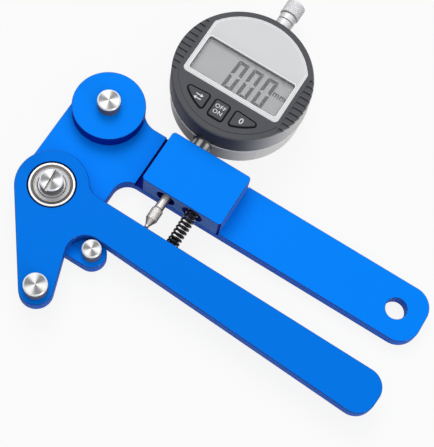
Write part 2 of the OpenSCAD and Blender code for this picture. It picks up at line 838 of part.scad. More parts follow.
module zero_button() {
  button_solid() {
    side_button(1, 0);
    side_button(1, flange_w);
  }
}

// Rubber domes between the board and the buttons, clear by the travel
module button_pads() {
  color([0.1, 0.1, 0.1]) for (x = [-pad_x, 0, pad_x])
    at_gauge(board_z + board_t) translate([x, (button_top + middle_low) / 2 + 1, 0])
      cylinder(h = pocket_z - flange_t - button_travel - button_play - board_z - board_t, d = pad_d);
}

module circuit_board() {
  color([0.1, 0.4, 0.2]) difference() {
    at_gauge(board_z) cylinder(h = board_t, r = bezel_r - bezel_wall - 0.1);
    at_gauge(board_z - eps) for (a = cover_screw_angles()) rotate(a)
      translate([bezel_r - board_hole_in, 0, 0]) cylinder(h = board_t + 2 * eps, d = board_hole_d);
  }
}

// ---- Plunger --------------------------------------------------------------

module plunger_rod() {
  color([0.84, 0.84, 0.86]) difference() {
    along_y(stem_x, rod_low_y) cylinder(h = cap_low_y + 2 - rod_low_y, d = rod_d);
    along_y(stem_x, rod_low_y - eps) cylinder(h = stub_l, d = stub_d);
  }
}

module neck_bush() {
  color([0.9, 0.9, 0.91]) difference() {
    along_y(stem_x, gauge_y + case_r - case_wall) cylinder(h = neck_l + case_wall, d = neck_d);
    along_y(stem_x, gauge_y + case_r - case_wall - eps)
      cylinder(h = neck_l + case_wall + 2 * eps, d = rod_d + 2 * rod_play);
  }
}

// Contact point: threaded stub, knurled barrel, cone and ball tip
module contact_point() {
  cone_l = point_l * 0.42;
  color([0.8, 0.8, 0.82]) {
    along_y(stem_x, tip_y + tip_r) sphere(r = tip_r);
    along_y(stem_x, tip_y + tip_r) cylinder(h = cone_l - tip_r, r1 = tip_r, d2 = point_d);
    along_y(stem_x, tip_y + cone_l) cylinder(h = point_l - cone_l - shoulder_l, d = point_d);
    along_y(stem_x, rod_low_y - shoulder_l) cylinder(h = shoulder_l, d1 = point_d, d2 = rod_d);
    along_y(stem_x, rod_low_y - shoulder_l) cylinder(h = stub_l, d = stub_d);
  }
}

module lifting_cap() {
  flute_r = 0.35;
  edge = 0.6;
  knurl_y = cap_low_y + collar_l;
  color([0.93, 0.93, 0.93]) difference() {
    union() {
      along_y(stem_x, cap_low_y) cylinder(h = collar_l + eps, d = neck_d);
      along_y(stem_x, knurl_y) cylinder(h = cap_l - edge, d = cap_d);
      along_y(stem_x, cap_top_y - edge) cylinder(h = edge, d1 = cap_d, d2 = cap_d - 2 * edge);
    }
    along_y(stem_x, cap_low_y - eps) cylinder(h = 2 + eps, d = rod_d);
    for (i = [0 : cap_flutes - 1]) along_y(stem_x, knurl_y - eps) rotate(360 * i / cap_flutes)
      translate([cap_d / 2 + flute_r * 0.3, 0, 0]) cylinder(h = cap_l + 1, r = flute_r, $fn = 8);
  }
}

back_arm();
front_arm();
post_disc();
top_post();
leg_post();
middle_post();
stop_pin();
bearing_outer_ring();
bearing_inner_ring();
bearing_balls();
bearing_cage();
bearing_shields();
pivot_spacer();
back_post_screws();
leg_post_screw();
gauge_block();
block_screws();
stem_set_screw();
return_spring();
spring_pin();
gauge_case();
gauge_bezel();
display_frame();
display_window();
display_panel();
unit_button();
power_button();
zero_button();
button_pads();
circuit_board();
battery_cell();
battery_cover();
back_cover();
cover_screws();
gauge_stem();
neck_bush();
plunger_rod();
contact_point();
lifting_cap();
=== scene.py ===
"""Spoke tension meter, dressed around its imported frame.

Lengths are in millimetres along the frame's own axes (+X along the handles, +Y to the gauge, +Z out of
the face) and become metres when a mesh is made.
"""

from __future__ import annotations

import json
import logging
import math
from collections.abc import Iterable, Sequence
from dataclasses import dataclass, replace
from enum import Enum

import bmesh
import bpy
import numpy as np
from mathutils import Matrix, Vector
from mathutils.geometry import tessellate_polygon


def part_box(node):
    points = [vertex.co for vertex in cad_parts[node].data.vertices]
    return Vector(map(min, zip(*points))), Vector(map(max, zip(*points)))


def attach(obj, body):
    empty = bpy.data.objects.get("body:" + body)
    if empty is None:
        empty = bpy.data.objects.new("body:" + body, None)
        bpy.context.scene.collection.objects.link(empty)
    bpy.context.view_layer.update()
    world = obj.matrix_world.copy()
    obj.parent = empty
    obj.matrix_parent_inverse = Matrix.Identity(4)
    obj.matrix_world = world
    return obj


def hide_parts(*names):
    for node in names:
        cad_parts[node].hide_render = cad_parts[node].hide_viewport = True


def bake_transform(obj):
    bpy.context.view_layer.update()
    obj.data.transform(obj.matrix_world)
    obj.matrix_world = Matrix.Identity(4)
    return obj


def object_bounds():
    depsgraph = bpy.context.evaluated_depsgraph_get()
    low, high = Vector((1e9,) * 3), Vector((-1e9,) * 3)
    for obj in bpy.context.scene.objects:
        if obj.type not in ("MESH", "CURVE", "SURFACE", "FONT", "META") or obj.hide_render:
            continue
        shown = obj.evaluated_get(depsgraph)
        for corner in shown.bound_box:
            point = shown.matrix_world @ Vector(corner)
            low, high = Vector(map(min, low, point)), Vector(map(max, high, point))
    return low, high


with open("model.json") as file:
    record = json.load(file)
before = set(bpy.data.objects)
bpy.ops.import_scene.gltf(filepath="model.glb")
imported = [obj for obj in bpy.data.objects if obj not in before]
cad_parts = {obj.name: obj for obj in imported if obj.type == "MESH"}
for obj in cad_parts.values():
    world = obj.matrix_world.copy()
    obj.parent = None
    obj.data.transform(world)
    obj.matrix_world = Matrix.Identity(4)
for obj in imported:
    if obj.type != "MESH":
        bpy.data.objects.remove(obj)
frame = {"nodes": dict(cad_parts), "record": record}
cad_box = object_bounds()

MM = 0.001
WELD = 1e-7
SLOPE = "slope"
# How far above a face its cutting tool starts, and how far from touching two neighbours of a belt stay.
CLEAR = 1.0
TOUCH = 0.02
LOG = logging.getLogger("spoke_tension_meter")

Piece = bpy.types.Object
Colour = tuple[float, float, float]
Profile = list[tuple[float, float]]


def node_centre(node: str) -> tuple[float, ...]:
    """Middle of a CAD node's box in millimetres."""
    low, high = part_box(node)
    return tuple((low[i] + high[i]) / 2 / MM for i in range(3))


GAUGE_CENTRE = node_centre("gauge_bezel")


# ---- Shader graphs ----------------------------------------------------------------------------------


class Signal:
    """A node's output that takes part in Python arithmetic; each operation adds a Math node."""

    def __init__(self, graph: Graph, socket: bpy.types.NodeSocket) -> None:
        """Keeps the graph that grows and the socket that is read."""
        self.graph = graph
        self.socket = socket

    def math(self, operation: str, *operands: Signal | float) -> Signal:
        """Adds a Math node.

        Args:
            operation: The Math node's operation.
            operands: Its values, in order.

        Returns:
            The node's result.
        """
        values = dict(enumerate(operands))
        return self.graph.signal("ShaderNodeMath", {"operation": operation}, values)

    def __add__(self, other: Signal | float) -> Signal:
        """Sum."""
        return self.math("ADD", self, other)

    def __sub__(self, other: Signal | float) -> Signal:
        """Difference."""
        return self.math("SUBTRACT", self, other)

    def __rsub__(self, other: float) -> Signal:
        """Difference with a number on the left."""
        return self.math("SUBTRACT", other, self)

    def __mul__(self, other: Signal | float) -> Signal:
        """Product."""
        return self.math("MULTIPLY", self, other)

    def __truediv__(self, other: Signal | float) -> Signal:
        """Quotient."""
        return self.math("DIVIDE", self, other)

    __radd__ = __add__
    __rmul__ = __mul__

    def root(self) -> Signal:
        """Square root."""
        return self.math("SQRT", self)

    def wave(self) -> Signal:
        """Sine, moved into 0 to 1."""
        return self.math("SINE", self) * 0.5 + 0.5

    def between(self, low: float, high: float) -> Signal:
        """Smooth step from 0 at low to 1 at high.

        Args:
            low: Where it starts to rise.
            high: Where it ends.

        Returns:
            The step.
        """
        settings = {"interpolation_type": "SMOOTHSTEP"}
        return self.graph.signal(
            "ShaderNodeMapRange", settings, {"Value": self, "From Min": low, "From Max": high}
        )


class Graph:
    """The node tree of a material or a world, grown one node at a time."""

    def __init__(self, owner: bpy.types.Material | bpy.types.World) -> None:
        """Empties the owner's node tree.

        Args:
            owner: The material or world whose tree grows.
        """
        owner.use_nodes = True
        self.owner = owner
        self.tree = owner.node_tree
        self.tree.nodes.clear()

    def node(self, kind: str, settings: dict | None = None, values: dict | None = None) -> bpy.types.Node:
        """Adds any node.

        Args:
            kind: The node's type.
            settings: Properties, set first.
            values: Numbers, colours or signals for its input sockets, by name or index.

        Returns:
            The new node.
        """
        node = self.tree.nodes.new(kind)
        for key, value in (settings or {}).items():
            setattr(node, key, value)
        for key, value in (values or {}).items():
            if isinstance(value, Signal):
                self.tree.links.new(value.socket, node.inputs[key])
            else:
                node.inputs[key].default_value = value
        return node

    def signal(
        self, kind: str, settings: dict | None = None, values: dict | None = None, output: str | int = 0
    ) -> Signal:
        """Adds a node and gives one of its outputs as a signal."""
        return Signal(self, self.node(kind, settings, values).outputs[output])

    def place(self, centre: Sequence[float] = (0, 0, 0)) -> Signal:
        """The point on the piece in metres, seen from a centre in millimetres."""
        values = {0: self.signal("ShaderNodeTexCoord", output="Object"), 1: Vector(centre) * MM}
        return self.signal("ShaderNodeVectorMath", {"operation": "SUBTRACT"}, values)

    def axes(self, point: Signal) -> tuple[Signal, Signal, Signal]:
        """The three parts of a point."""
        parts = self.node("ShaderNodeSeparateXYZ", values={0: point})
        return tuple(Signal(self, output) for output in parts.outputs)

    def noise(self, point: Signal, size: float, detail: float = 2.0) -> Signal:
        """Noise from 0 to 1 whose blotches are about size millimetres across."""
        values = {"Vector": point, "Scale": 1.0 / (size * MM), "Detail": detail}
        return self.signal("ShaderNodeTexNoise", values=values)

    def blend(self, amount: Signal, low: Colour | Signal, high: Colour | Signal) -> Signal:
        """Colour from low at amount 0 to high at amount 1."""
        low, high = (end if isinstance(end, Signal) else (*end, 1.0) for end in (low, high))
        return self.signal("ShaderNodeMix", {"data_type": "RGBA"}, {0: amount, 6: low, 7: high}, 2)

    def attribute(self, name: str) -> Signal:
        """A number that the mesh carries."""
        return self.signal("ShaderNodeAttribute", {"attribute_name": name}, output="Fac")

    def finish(self, values: dict, height: Signal, depth: float) -> bpy.types.Material:
        """Closes the graph with a Principled shader.

        Args:
            values: The shader's inputs.
            height: Relief from 0 to 1.
            depth: Depth of the relief in millimetres.

        Returns:
            The material.
        """
        relief = {"Height": height, "Strength": 1.0, "Distance": depth * MM}
        bump = self.signal("ShaderNodeBump", values=relief)
        shader = self.signal("ShaderNodeBsdfPrincipled", values={**values, "Normal": bump})
        self.node("ShaderNodeOutputMaterial", values={"Surface": shader})
        return self.owner


# ---- Finishes ---------------------------------------------------------------------------------------


def shade(red: int, green: int, blue: int) -> Colour:
    """Linear colour of an 8-bit screen colour.

    Args:
        red: Red from 0 to 255.
        green: Green from 0 to 255.
        blue: Blue from 0 to 255.

    Returns:
        Its three linear parts.
    """
    screen = np.array((red, green, blue)) / 255.0
    linear = np.where(screen <= 0.04045, screen / 12.92, ((screen + 0.055) / 1.055) ** 2.4)
    return tuple(float(part) for part in linear)


class Pattern(Enum):
    """How a surface was worked."""

    BLASTED = "fine even grain"
    TURNED = "rings about the Z axis"
    TURNED_LENGTHWISE = "rings about the Y axis"
    MOULDED = "sparked mould grain with slow clouds"


@dataclass(frozen=True)
class Finish:
    """One surface finish: two close colours, how rough it is and how it was worked.

    Where edge, wall or hollow is given, chamfers, walls or recesses take that colour, and glint is the gloss
    of the chamfers. These tints are painted light: a pale edge is a painted highlight and a dark one painted
    shade, walls carry painted shade and recesses painted shadow. Where band is given, a turned face changes
    from colour to accent between two radii; where drift is given, it does so along X, as a painted reflection.
    With sectors, a turned piece has that many painted highlight fans round its axis, moved by phase in radians.
    Where rim is given, the flank beyond rim_radius takes that colour more and more along X, between the two
    ends of rim_drift: a painted reflection.
    """

    name: str
    colour: Colour
    accent: Colour
    pattern: Pattern
    roughness: float = 0.4
    spread: float = 0.08
    metallic: float = 0.0
    grain: float = 0.2
    depth: float = 0.004
    coat: float = 0.0
    alpha: float = 1.0
    specular: float = 0.5
    edge: Colour | None = None
    wall: Colour | None = None
    hollow: Colour | None = None
    rim: Colour | None = None
    rim_radius: float = 0.0
    rim_drift: tuple[float, float] = (0.0, 1.0)
    glint: float = 0.0
    band: tuple[float, float] | None = None
    drift: tuple[float, float] | None = None
    sectors: int = 0
    phase: float = 0.0
    centre: tuple[float, float, float] = (0.0, 0.0, 0.0)
    slot: str = ""

    def masks(self, graph: Graph) -> tuple[Signal, Signal]:
        """Colour mask and relief of the pattern, both from 0 to 1.

        Args:
            graph: The graph that grows.

        Returns:
            The mask between the two colours and the relief.
        """
        cloud = graph.noise(graph.place(), 40 * self.grain, 3.0)
        fine = graph.noise(graph.place(), self.grain, 2.0)
        x, y, z = graph.axes(graph.place(self.centre))
        pitch = 2 * math.pi / self.grain
        # With drift, the colour runs along X from colour to accent: a painted reflection.
        if self.drift:
            return (x / MM + cloud * 3.0).between(*self.drift), fine
        # Turned about Y, top faces take the accent and flanks the colour: painted highlight and painted shade; with
        # sectors, painted highlight stripes round the axis take their place.
        if self.pattern is Pattern.TURNED_LENGTHWISE:
            light = 1.0 - graph.attribute(SLOPE).between(0.02, 0.5)
            if self.sectors:
                light = self.fan(x, z, cloud * 0.4).between(0.1, 0.95)
            return light * 0.85 + fine * 0.15, ((y / MM + cloud * 0.2) * pitch).wave()
        if self.pattern is Pattern.TURNED:
            radius = (x * x + y * y).root() / MM
            mask = radius.between(*self.band) if self.band else cloud
            # Sectors are painted highlight fans round the turned face.
            if self.sectors:
                mask = self.fan(x, y, cloud * 1.2).between(0.0, 1.0) * 0.85 + fine * 0.15
            return mask, (radius * pitch).wave()
        share = 0.6 if self.pattern is Pattern.MOULDED else 0.5
        return cloud * share + fine * (1 - share), fine

    def fan(self, across: Signal, up: Signal, blur: Signal) -> Signal:
        """Painted highlight sectors round an axis: a wave of the angle that two coordinates make."""
        return (across.math("ARCTAN2", up, across) * float(self.sectors) + self.phase + blur).wave()

    def material(self) -> bpy.types.Material:
        """The finish as a material; it is made once and then shared.

        Returns:
            The material.
        """
        known = bpy.data.materials.get(f"{self.name}_finish")
        if known:
            return known
        graph = Graph(bpy.data.materials.new(f"{self.name}_finish"))
        mask, relief = self.masks(graph)
        colour = graph.blend(mask, self.colour, self.accent)
        slope = graph.attribute(SLOPE)
        upright = slope.between(0.5, 0.9)
        cut = slope.between(0.004, 0.06) - upright
        # Chamfers, walls and recesses take their tints: painted highlight and painted shade on chamfers, painted shade
        # on walls, painted shadow in recesses.
        for tint, amount in ((self.edge, cut), (self.wall, upright), (self.hollow, slope.between(1.2, 1.8))):
            if tint:
                colour = graph.blend(amount, colour, tint)
        # The flank beyond rim_radius turns towards the rim colour along X: a painted reflection.
        if self.rim:
            x, y, _ = graph.axes(graph.place(self.centre))
            flank = ((x * x + y * y).root() / MM).between(self.rim_radius - 0.4, self.rim_radius)
            along = (x / MM).between(*self.rim_drift)
            colour = graph.blend(slope.between(0.15, 0.5) * flank * along * along, colour, self.rim)
        values = {
            "Base Color": colour,
            "Roughness": mask * self.spread + (self.roughness - self.spread / 2),
            "Metallic": self.metallic,
            "Specular IOR Level": self.specular,
            "Coat Weight": cut * self.glint if self.glint else self.coat,
            "Coat Roughness": 0.12,
            "Alpha": self.alpha,
        }
        return graph.finish(values, relief, self.depth)


# Blue anodising; its edge tint is painted shade on the chamfers, its wall tint painted shade on the walls and its
# hollow tint painted shadow in the channel and the bores.
BLUE = Finish(
    "blue_anodised", shade(1, 126, 243), shade(3, 131, 249), Pattern.BLASTED, 0.45, 0.1, 0.04, specular=0.02,
    edge=shade(0, 58, 156), wall=shade(34, 98, 200), hollow=shade(3, 18, 112), glint=0.6,
)
# The disc's and the block's copies of the blue anodising differ only in the painted shade on their walls.
DISC_BLUE = replace(BLUE, name="blue_anodised_disc", wall=shade(2, 44, 150), slot="blue_anodised")
BLOCK_BLUE = replace(BLUE, name="blue_anodised_block", wall=shade(78, 124, 198), slot="blue_anodised")
# The front arm's blue anodising; its edge and wall tints are painted shade and its hollow tint painted shadow in the
# bore's chamfer.
DARK_BLUE = Finish(
    "blue_anodised_dark", shade(0, 113, 224), shade(1, 118, 230), Pattern.BLASTED, 0.45, 0.1, 0.04, specular=0.02,
    edge=shade(0, 46, 130), wall=shade(28, 94, 196), hollow=shade(3, 14, 66), glint=0.6,
)
# On the outer ring the sloped lips inside 8.5 mm take the darker brown-grey colour: painted shade in the recess; the
# flat face keeps the pale accent.
BEARING = Finish(
    "bearing_steel", shade(128, 120, 114), shade(228, 228, 229), Pattern.TURNED, 0.3, 0.1, 0.4, 0.25, 0.0004,
    band=(8.5, 8.65), specular=0.3,
)
INNER_RING = replace(
    BEARING, name="bearing_steel_inner", colour=shade(176, 176, 178), accent=shade(214, 214, 216), band=None,
    slot="bearing_steel",
)
SHIELD = Finish(
    "shield_steel", shade(176, 176, 178), shade(202, 202, 204), Pattern.TURNED, 0.35, 0.1, 0.3, 0.3, 0.0006,
    specular=0.3,
)
BRASS = Finish("cage_brass", shade(190, 160, 90), shade(205, 176, 110), Pattern.BLASTED, 0.35, 0.1, 1.0)
BLACK_STEEL = Finish("black_steel", shade(46, 46, 50), shade(64, 64, 68), Pattern.BLASTED, 0.4, 0.12, 0.6, 0.3)
SPRING_STEEL = Finish("spring_steel", shade(18, 18, 22), shade(30, 30, 36), Pattern.BLASTED, 0.25, 0.1, 0.6, 0.4)
# The casing runs from dark at the left to pale at the right along X: a painted reflection.
CASING = Finish(
    "dark_casing", shade(34, 36, 54), shade(219, 216, 211), Pattern.BLASTED, 0.25, 0.05, 0.1, 1.0, 0.001,
    drift=(-6.0, 25.0), centre=GAUGE_CENTRE, specular=0.12,
)
# The bezel's walls take painted shade, and its flank turns pale towards +X: a painted reflection.
BEZEL = Finish(
    "bezel_plastic", shade(74, 75, 80), shade(86, 87, 92), Pattern.MOULDED, 0.45, 0.12, 0.0, 0.25, 0.008,
    wall=shade(46, 48, 62), rim=shade(208, 205, 200), rim_radius=29.4, rim_drift=(6.0, 32.0), specular=0.12,
    centre=GAUGE_CENTRE,
)
# The frame's pale edge tint is a painted highlight on its chamfers.
SILVER = Finish(
    "silver_frame", shade(206, 207, 208), shade(216, 217, 218), Pattern.BLASTED, 0.45, 0.1, 0.0, 0.25,
    edge=shade(244, 244, 246), specular=0.15,
)
# Near-white finish of the seam bead: a painted highlight of the case's polished rim.
SEAM_HIGHLIGHT = Finish("seam_silver", shade(236, 236, 240), shade(246, 246, 250), Pattern.BLASTED, 0.3, 0.05, 0.0, 0.3, 0.001)
PANEL = Finish("display_grey", shade(160, 162, 163), shade(170, 172, 173), Pattern.MOULDED, 0.55, 0.08, 0.0, 0.4, 0.002)
INK = Finish("display_ink", shade(58, 59, 61), shade(66, 67, 69), Pattern.BLASTED, 0.6, 0.08, 0.0, 0.3, 0.001)
WINDOW = Finish(
    "clear_window", shade(225, 228, 230), shade(236, 238, 240), Pattern.BLASTED, 0.08, 0.04, 0.0, 2.0, 0.0005,
    alpha=0.06,
)
# The buttons' dark edge tint is painted shade round their rims.
BUTTON = Finish(
    "button_grey", shade(72, 73, 78), shade(82, 83, 88), Pattern.MOULDED, 0.5, 0.1, 0.0, 0.2, 0.01, specular=0.15,
    edge=shade(40, 41, 46),
)
RUBBER = Finish(
    "pad_rubber", shade(5, 5, 6), shade(12, 12, 14), Pattern.MOULDED, 0.6, 0.1, 0.0, 0.3, 0.01, specular=0.1
)
MARK = Finish("button_marks", shade(226, 226, 228), shade(240, 240, 240), Pattern.BLASTED, 0.5, 0.08, 0.0, 0.2)
BOARD = Finish("board_green", shade(24, 96, 52), shade(32, 116, 64), Pattern.MOULDED, 0.4, 0.1, 0.0, 0.6)
CELL = Finish("cell_steel", shade(204, 204, 204), shade(222, 222, 222), Pattern.BLASTED, 0.3, 0.1, 1.0, 0.5)
# On turned rods the top faces take the pale accent and the flanks the dark colour: painted highlight and painted shade.
STEEL_ROD = Finish(
    "turned_steel", shade(60, 57, 56), shade(236, 231, 226), Pattern.TURNED_LENGTHWISE, 0.24, 0.08, 0.4, 0.3, 0.001
)
# The stem's seven light stripes round its axis are painted highlights, and its dark flanks painted shade.
STEM_STEEL = replace(
    STEEL_ROD, name="turned_steel_stem", accent=shade(255, 253, 250), metallic=0.05, sectors=7, phase=1.3,
    centre=node_centre("gauge_stem"), slot="turned_steel",
)
# The cap is paler on top and darker on its flanks: painted highlight and painted shade.
CAP_STEEL = Finish(
    "cap_steel", shade(172, 172, 175), shade(236, 236, 238), Pattern.TURNED_LENGTHWISE, 0.35, 0.08, 0.1, 0.3, 0.001
)


# ---- Outlines, profiles and shells ------------------------------------------------------------------


def unit(angle: np.ndarray) -> np.ndarray:
    """Unit vectors at the given angles in radians."""
    return np.stack([np.cos(angle), np.sin(angle)], -1)


@dataclass(frozen=True)
class Belt:
    """Outline run counter-clockwise round circles (x, y, radius), as a belt round pulleys.

    A negative radius is a fillet that the belt passes on its other side.
    """

    circles: Sequence[tuple[float, float, float]]
    step: float = 5.0

    def points(self, inset: float = 0.0) -> np.ndarray:
        """Points of the outline, moved inwards.

        Between two circles the belt leaves at the angle of the line of centres plus
        asin((r1 - r2) / distance); on a circle it is centre + (radius - inset) * (cos, sin).

        Args:
            inset: How far the outline moves inwards.

        Returns:
            An array of points, always as many whatever the inset.
        """
        table = np.array(self.circles, float)
        centre, radius = table[:, :2], table[:, 2]
        ahead = np.roll(centre, -1, 0) - centre
        lean = (radius - np.roll(radius, -1)) / np.hypot(ahead[:, 0], ahead[:, 1])
        leaving = np.arctan2(ahead[:, 1], ahead[:, 0]) + np.arcsin(np.clip(lean, -1, 1)) - np.pi / 2
        arriving = np.roll(leaving, 1)
        turn = np.mod(leaving - arriving, 2 * np.pi) - np.where(radius < 0, 2 * np.pi, 0)
        arcs = []
        for middle, reach, start, sweep in zip(centre, radius - inset, arriving, turn, strict=True):
            count = max(2, math.ceil(abs(math.degrees(sweep)) / self.step) + 1)
            arcs.append(middle + reach * unit(start + sweep * np.linspace(0, 1, count)))
        return np.concatenate(arcs)


@dataclass(frozen=True)
class Circle:
    """Round outline."""

    x: float
    y: float
    radius: float
    count: int = 96

    def points(self, inset: float = 0.0) -> np.ndarray:
        """Centre + (radius - inset) * (cos, sin)."""
        return np.array((self.x, self.y)) + (self.radius - inset) * unit(np.arange(self.count) * 2 * np.pi / self.count)


Outline = Belt | Circle


def rounded_box(x: float, y: float, width: float, height: float, radius: float) -> Belt:
    """Rectangle with round corners about a centre."""
    dx, dy = width / 2 - radius, height / 2 - radius
    return Belt([(x + i * dx, y + j * dy, radius) for i, j in ((-1, -1), (1, -1), (1, 1), (-1, 1))])


def softened(profile: Sequence[tuple[float, float]], cut: float, steps: int = 4) -> Profile:
    """Profile with each inner corner replaced by a short curve.

    The curve is the quadratic blend (1-s)^2 a + 2s(1-s) corner + s^2 b between points a and b that lie
    cut away from the corner, and a further point before and after it keeps the flats flat.

    Args:
        profile: Corners of the profile.
        cut: Length of each corner that is taken off, at most 0.4 of the shorter side.
        steps: Number of steps of the curve.

    Returns:
        The softened profile.
    """
    corners = np.array(profile, float)
    s = np.linspace(0, 1, steps + 1)[:, None]
    parts = [corners[:1]]
    for before, corner, after in zip(corners[:-2], corners[1:-1], corners[2:], strict=True):
        back, ahead = before - corner, after - corner
        reach = min(cut, 0.4 * np.linalg.norm(back), 0.4 * np.linalg.norm(ahead))
        back, ahead = back / np.linalg.norm(back), ahead / np.linalg.norm(ahead)
        a, b = corner + back * reach, corner + ahead * reach
        curve = (1 - s) ** 2 * a + 2 * s * (1 - s) * corner + s**2 * b
        parts.append(np.concatenate([[a + back * reach * 0.2], curve, [b + ahead * reach * 0.2]]))
    parts.append(corners[-1:])
    return [tuple(point) for point in np.concatenate(parts)]


class Axis(Enum):
    """Axis that a shape is turned about."""

    Y = "along the gauge's stem"
    Z = "out of the face"


class Shell:
    """A mesh grown from grids of points, in millimetres."""

    def __init__(self) -> None:
        """Starts with no points."""
        self.parts: list[np.ndarray] = []
        self.faces: list[list[int]] = []
        self.size = 0

    def add(self, points: np.ndarray, faces: np.ndarray) -> Shell:
        """Adds points and the faces that index them.

        Args:
            points: The new points.
            faces: Rows of indices into them.

        Returns:
            This shell.
        """
        self.parts.append(points.reshape(-1, 3))
        self.faces += (faces + self.size).tolist()
        self.size += len(self.parts[-1])
        return self

    def grid(self, points: np.ndarray, wrap_rows: bool = False, wrap_columns: bool = True) -> Shell:
        """Adds a sheet of quads over a grid.

        Args:
            points: Array of rows by columns by three.
            wrap_rows: Whether the last row joins the first.
            wrap_columns: Whether the last column joins the first.

        Returns:
            This shell.
        """
        rows, columns = points.shape[:2]
        r = np.arange(rows if wrap_rows else rows - 1)[:, None]
        c = np.arange(columns if wrap_columns else columns - 1)[None, :]
        below, beside = (r + 1) % rows, (c + 1) % columns
        corners = [r * columns + c, r * columns + beside, below * columns + beside, below * columns + c]
        return self.add(points, np.stack(corners, -1).reshape(-1, 4))

    def cap(self, loops: Sequence[np.ndarray]) -> Shell:
        """Adds the flat face inside the first loop and outside the others."""
        triangles = tessellate_polygon([[Vector(point) for point in loop] for loop in loops])
        return self.add(np.concatenate(loops), np.array(triangles))

    def slab(
        self, outline: Outline, profile: Profile, holes: Sequence[tuple[Outline, Profile]] = ()
    ) -> Shell:
        """Adds a plate: each loop is carried down its profile, and caps close the top and the bottom.

        A profile point (inset, z) gives the ring outline(inset) at height z; a hole grows by its inset.

        Args:
            outline: The outer edge.
            profile: Its (inset, z) points, from the top cap to the bottom cap.
            holes: Outlines of the holes with their profiles.

        Returns:
            This shell.
        """
        walls = []
        for loop, points, side in [(outline, profile, 1), *((hole, rim, -1) for hole, rim in holes)]:
            rings = [np.insert(loop.points(side * inset), 2, z, axis=1) for inset, z in points]
            walls.append(np.stack(rings))
        for wall in walls:
            self.grid(wall)
        self.cap([wall[0] for wall in walls])
        return self.cap([wall[-1] for wall in walls])

    def lathe(
        self, profile: Profile, origin: Sequence[float], axis: Axis = Axis.Z, count: int = 96, closed: bool = False
    ) -> Shell:
        """Adds a turned shape: a profile point (radius, height) becomes a ring about the axis.

        Args:
            profile: Its (radius, height) points; it starts and ends on the axis unless it is closed.
            origin: Where the axis starts.
            axis: Direction of the axis.
            count: Points of each ring.
            closed: Whether the profile's end joins its start.

        Returns:
            This shell.
        """
        table = np.array(profile, float)
        ring = unit(np.arange(count) * 2 * np.pi / count)[None]
        flat = table[:, 0, None, None] * ring
        height = np.broadcast_to(table[:, 1, None, None], (*flat.shape[:2], 1))
        if axis is Axis.Z:
            points = np.concatenate([flat, height], -1)
        else:
            points = np.concatenate([flat[..., :1], height, -flat[..., 1:]], -1)
        return self.grid(points + np.array(origin, float), wrap_rows=closed)

    def build(self, name: str, sharp: float = 35.0) -> Piece:
        """Makes the piece, with seams merged and faces pointing outwards.

        Args:
            name: The piece's name.
            sharp: Angle in degrees past which an edge shows as a crease.

        Returns:
            The new object.
        """
        mesh = bpy.data.meshes.new(name)
        mesh.from_pydata((np.concatenate(self.parts) * MM).tolist(), [], self.faces)
        work = bmesh.new()
        work.from_mesh(mesh)
        bmesh.ops.remove_doubles(work, verts=work.verts, dist=WELD)
        bmesh.ops.dissolve_degenerate(work, edges=work.edges, dist=WELD)
        bmesh.ops.recalc_face_normals(work, faces=work.faces)
        work.to_mesh(mesh)
        work.free()
        smooth(mesh, sharp)
        piece = bpy.data.objects.new(name, mesh)
        bpy.context.scene.collection.objects.link(piece)
        return piece


def level_faces(mesh: bpy.types.Mesh) -> np.ndarray:
    """Whether all corners of each face lie at one height, as a sliver's own normal can't be relied on.

    Args:
        mesh: The mesh that is read.

    Returns:
        One truth value for each face.
    """
    points, corners = np.empty(len(mesh.vertices) * 3), np.empty(len(mesh.loops), int)
    mesh.vertices.foreach_get("co", points)
    mesh.loops.foreach_get("vertex_index", corners)
    starts = np.empty(len(mesh.polygons), int)
    mesh.polygons.foreach_get("loop_start", starts)
    heights = points[2::3][corners]
    return np.maximum.reduceat(heights, starts) - np.minimum.reduceat(heights, starts) < WELD


def smooth(mesh: bpy.types.Mesh, sharp: float) -> None:
    """Shades all but the level faces smoothly, with creases past the given angle.

    Args:
        mesh: The mesh that is shaded.
        sharp: The angle in degrees.
    """
    mesh.polygons.foreach_set("use_smooth", ~level_faces(mesh))
    mesh.set_sharp_from_angle(angle=math.radians(sharp))
    mesh.update()


def carved(body: Piece, tools: Iterable[Piece], operation: str = "DIFFERENCE", sharp: float = 35.0) -> Piece:
    """Cuts tools out of a piece, or joins them to it.

    Args:
        body: The piece that is cut.
        tools: Closed pieces, used up by this.
        operation: The Boolean operation.
        sharp: Angle in degrees past which an edge shows as a crease.

    Returns:
        The piece, with its new mesh.
    """
    spent = list(tools)
    for tool in spent:
        cut = body.modifiers.new(tool.name, "BOOLEAN")
        cut.operation = operation
        cut.solver = "EXACT"
        cut.object = tool
    bpy.context.view_layer.update()
    result = bpy.data.meshes.new_from_object(body.evaluated_get(bpy.context.evaluated_depsgraph_get()))
    body.modifiers.clear()
    body.data = result
    for tool in spent:
        bpy.data.objects.remove(tool)
    smooth(result, sharp)
    return body


@dataclass(frozen=True)
class Extent:
    """Box of a CAD node in millimetres."""

    low: np.ndarray
    high: np.ndarray

    @classmethod
    def of(cls, *nodes: str) -> Extent:
        """Box round the named nodes."""
        corners = np.array([[list(corner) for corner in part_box(node)] for node in nodes]) / MM
        return cls(corners[:, 0].min(0), corners[:, 1].max(0))

    @property
    def centre(self) -> np.ndarray:
        """Middle of the box."""
        return (self.low + self.high) / 2

    @property
    def size(self) -> np.ndarray:
        """Lengths of the box's sides."""
        return self.high - self.low

    @property
    def foot(self) -> np.ndarray:
        """Middle of the end towards -Y, where a shape turned about Y starts."""
        return np.array([self.centre[0], self.low[1], self.centre[2]])


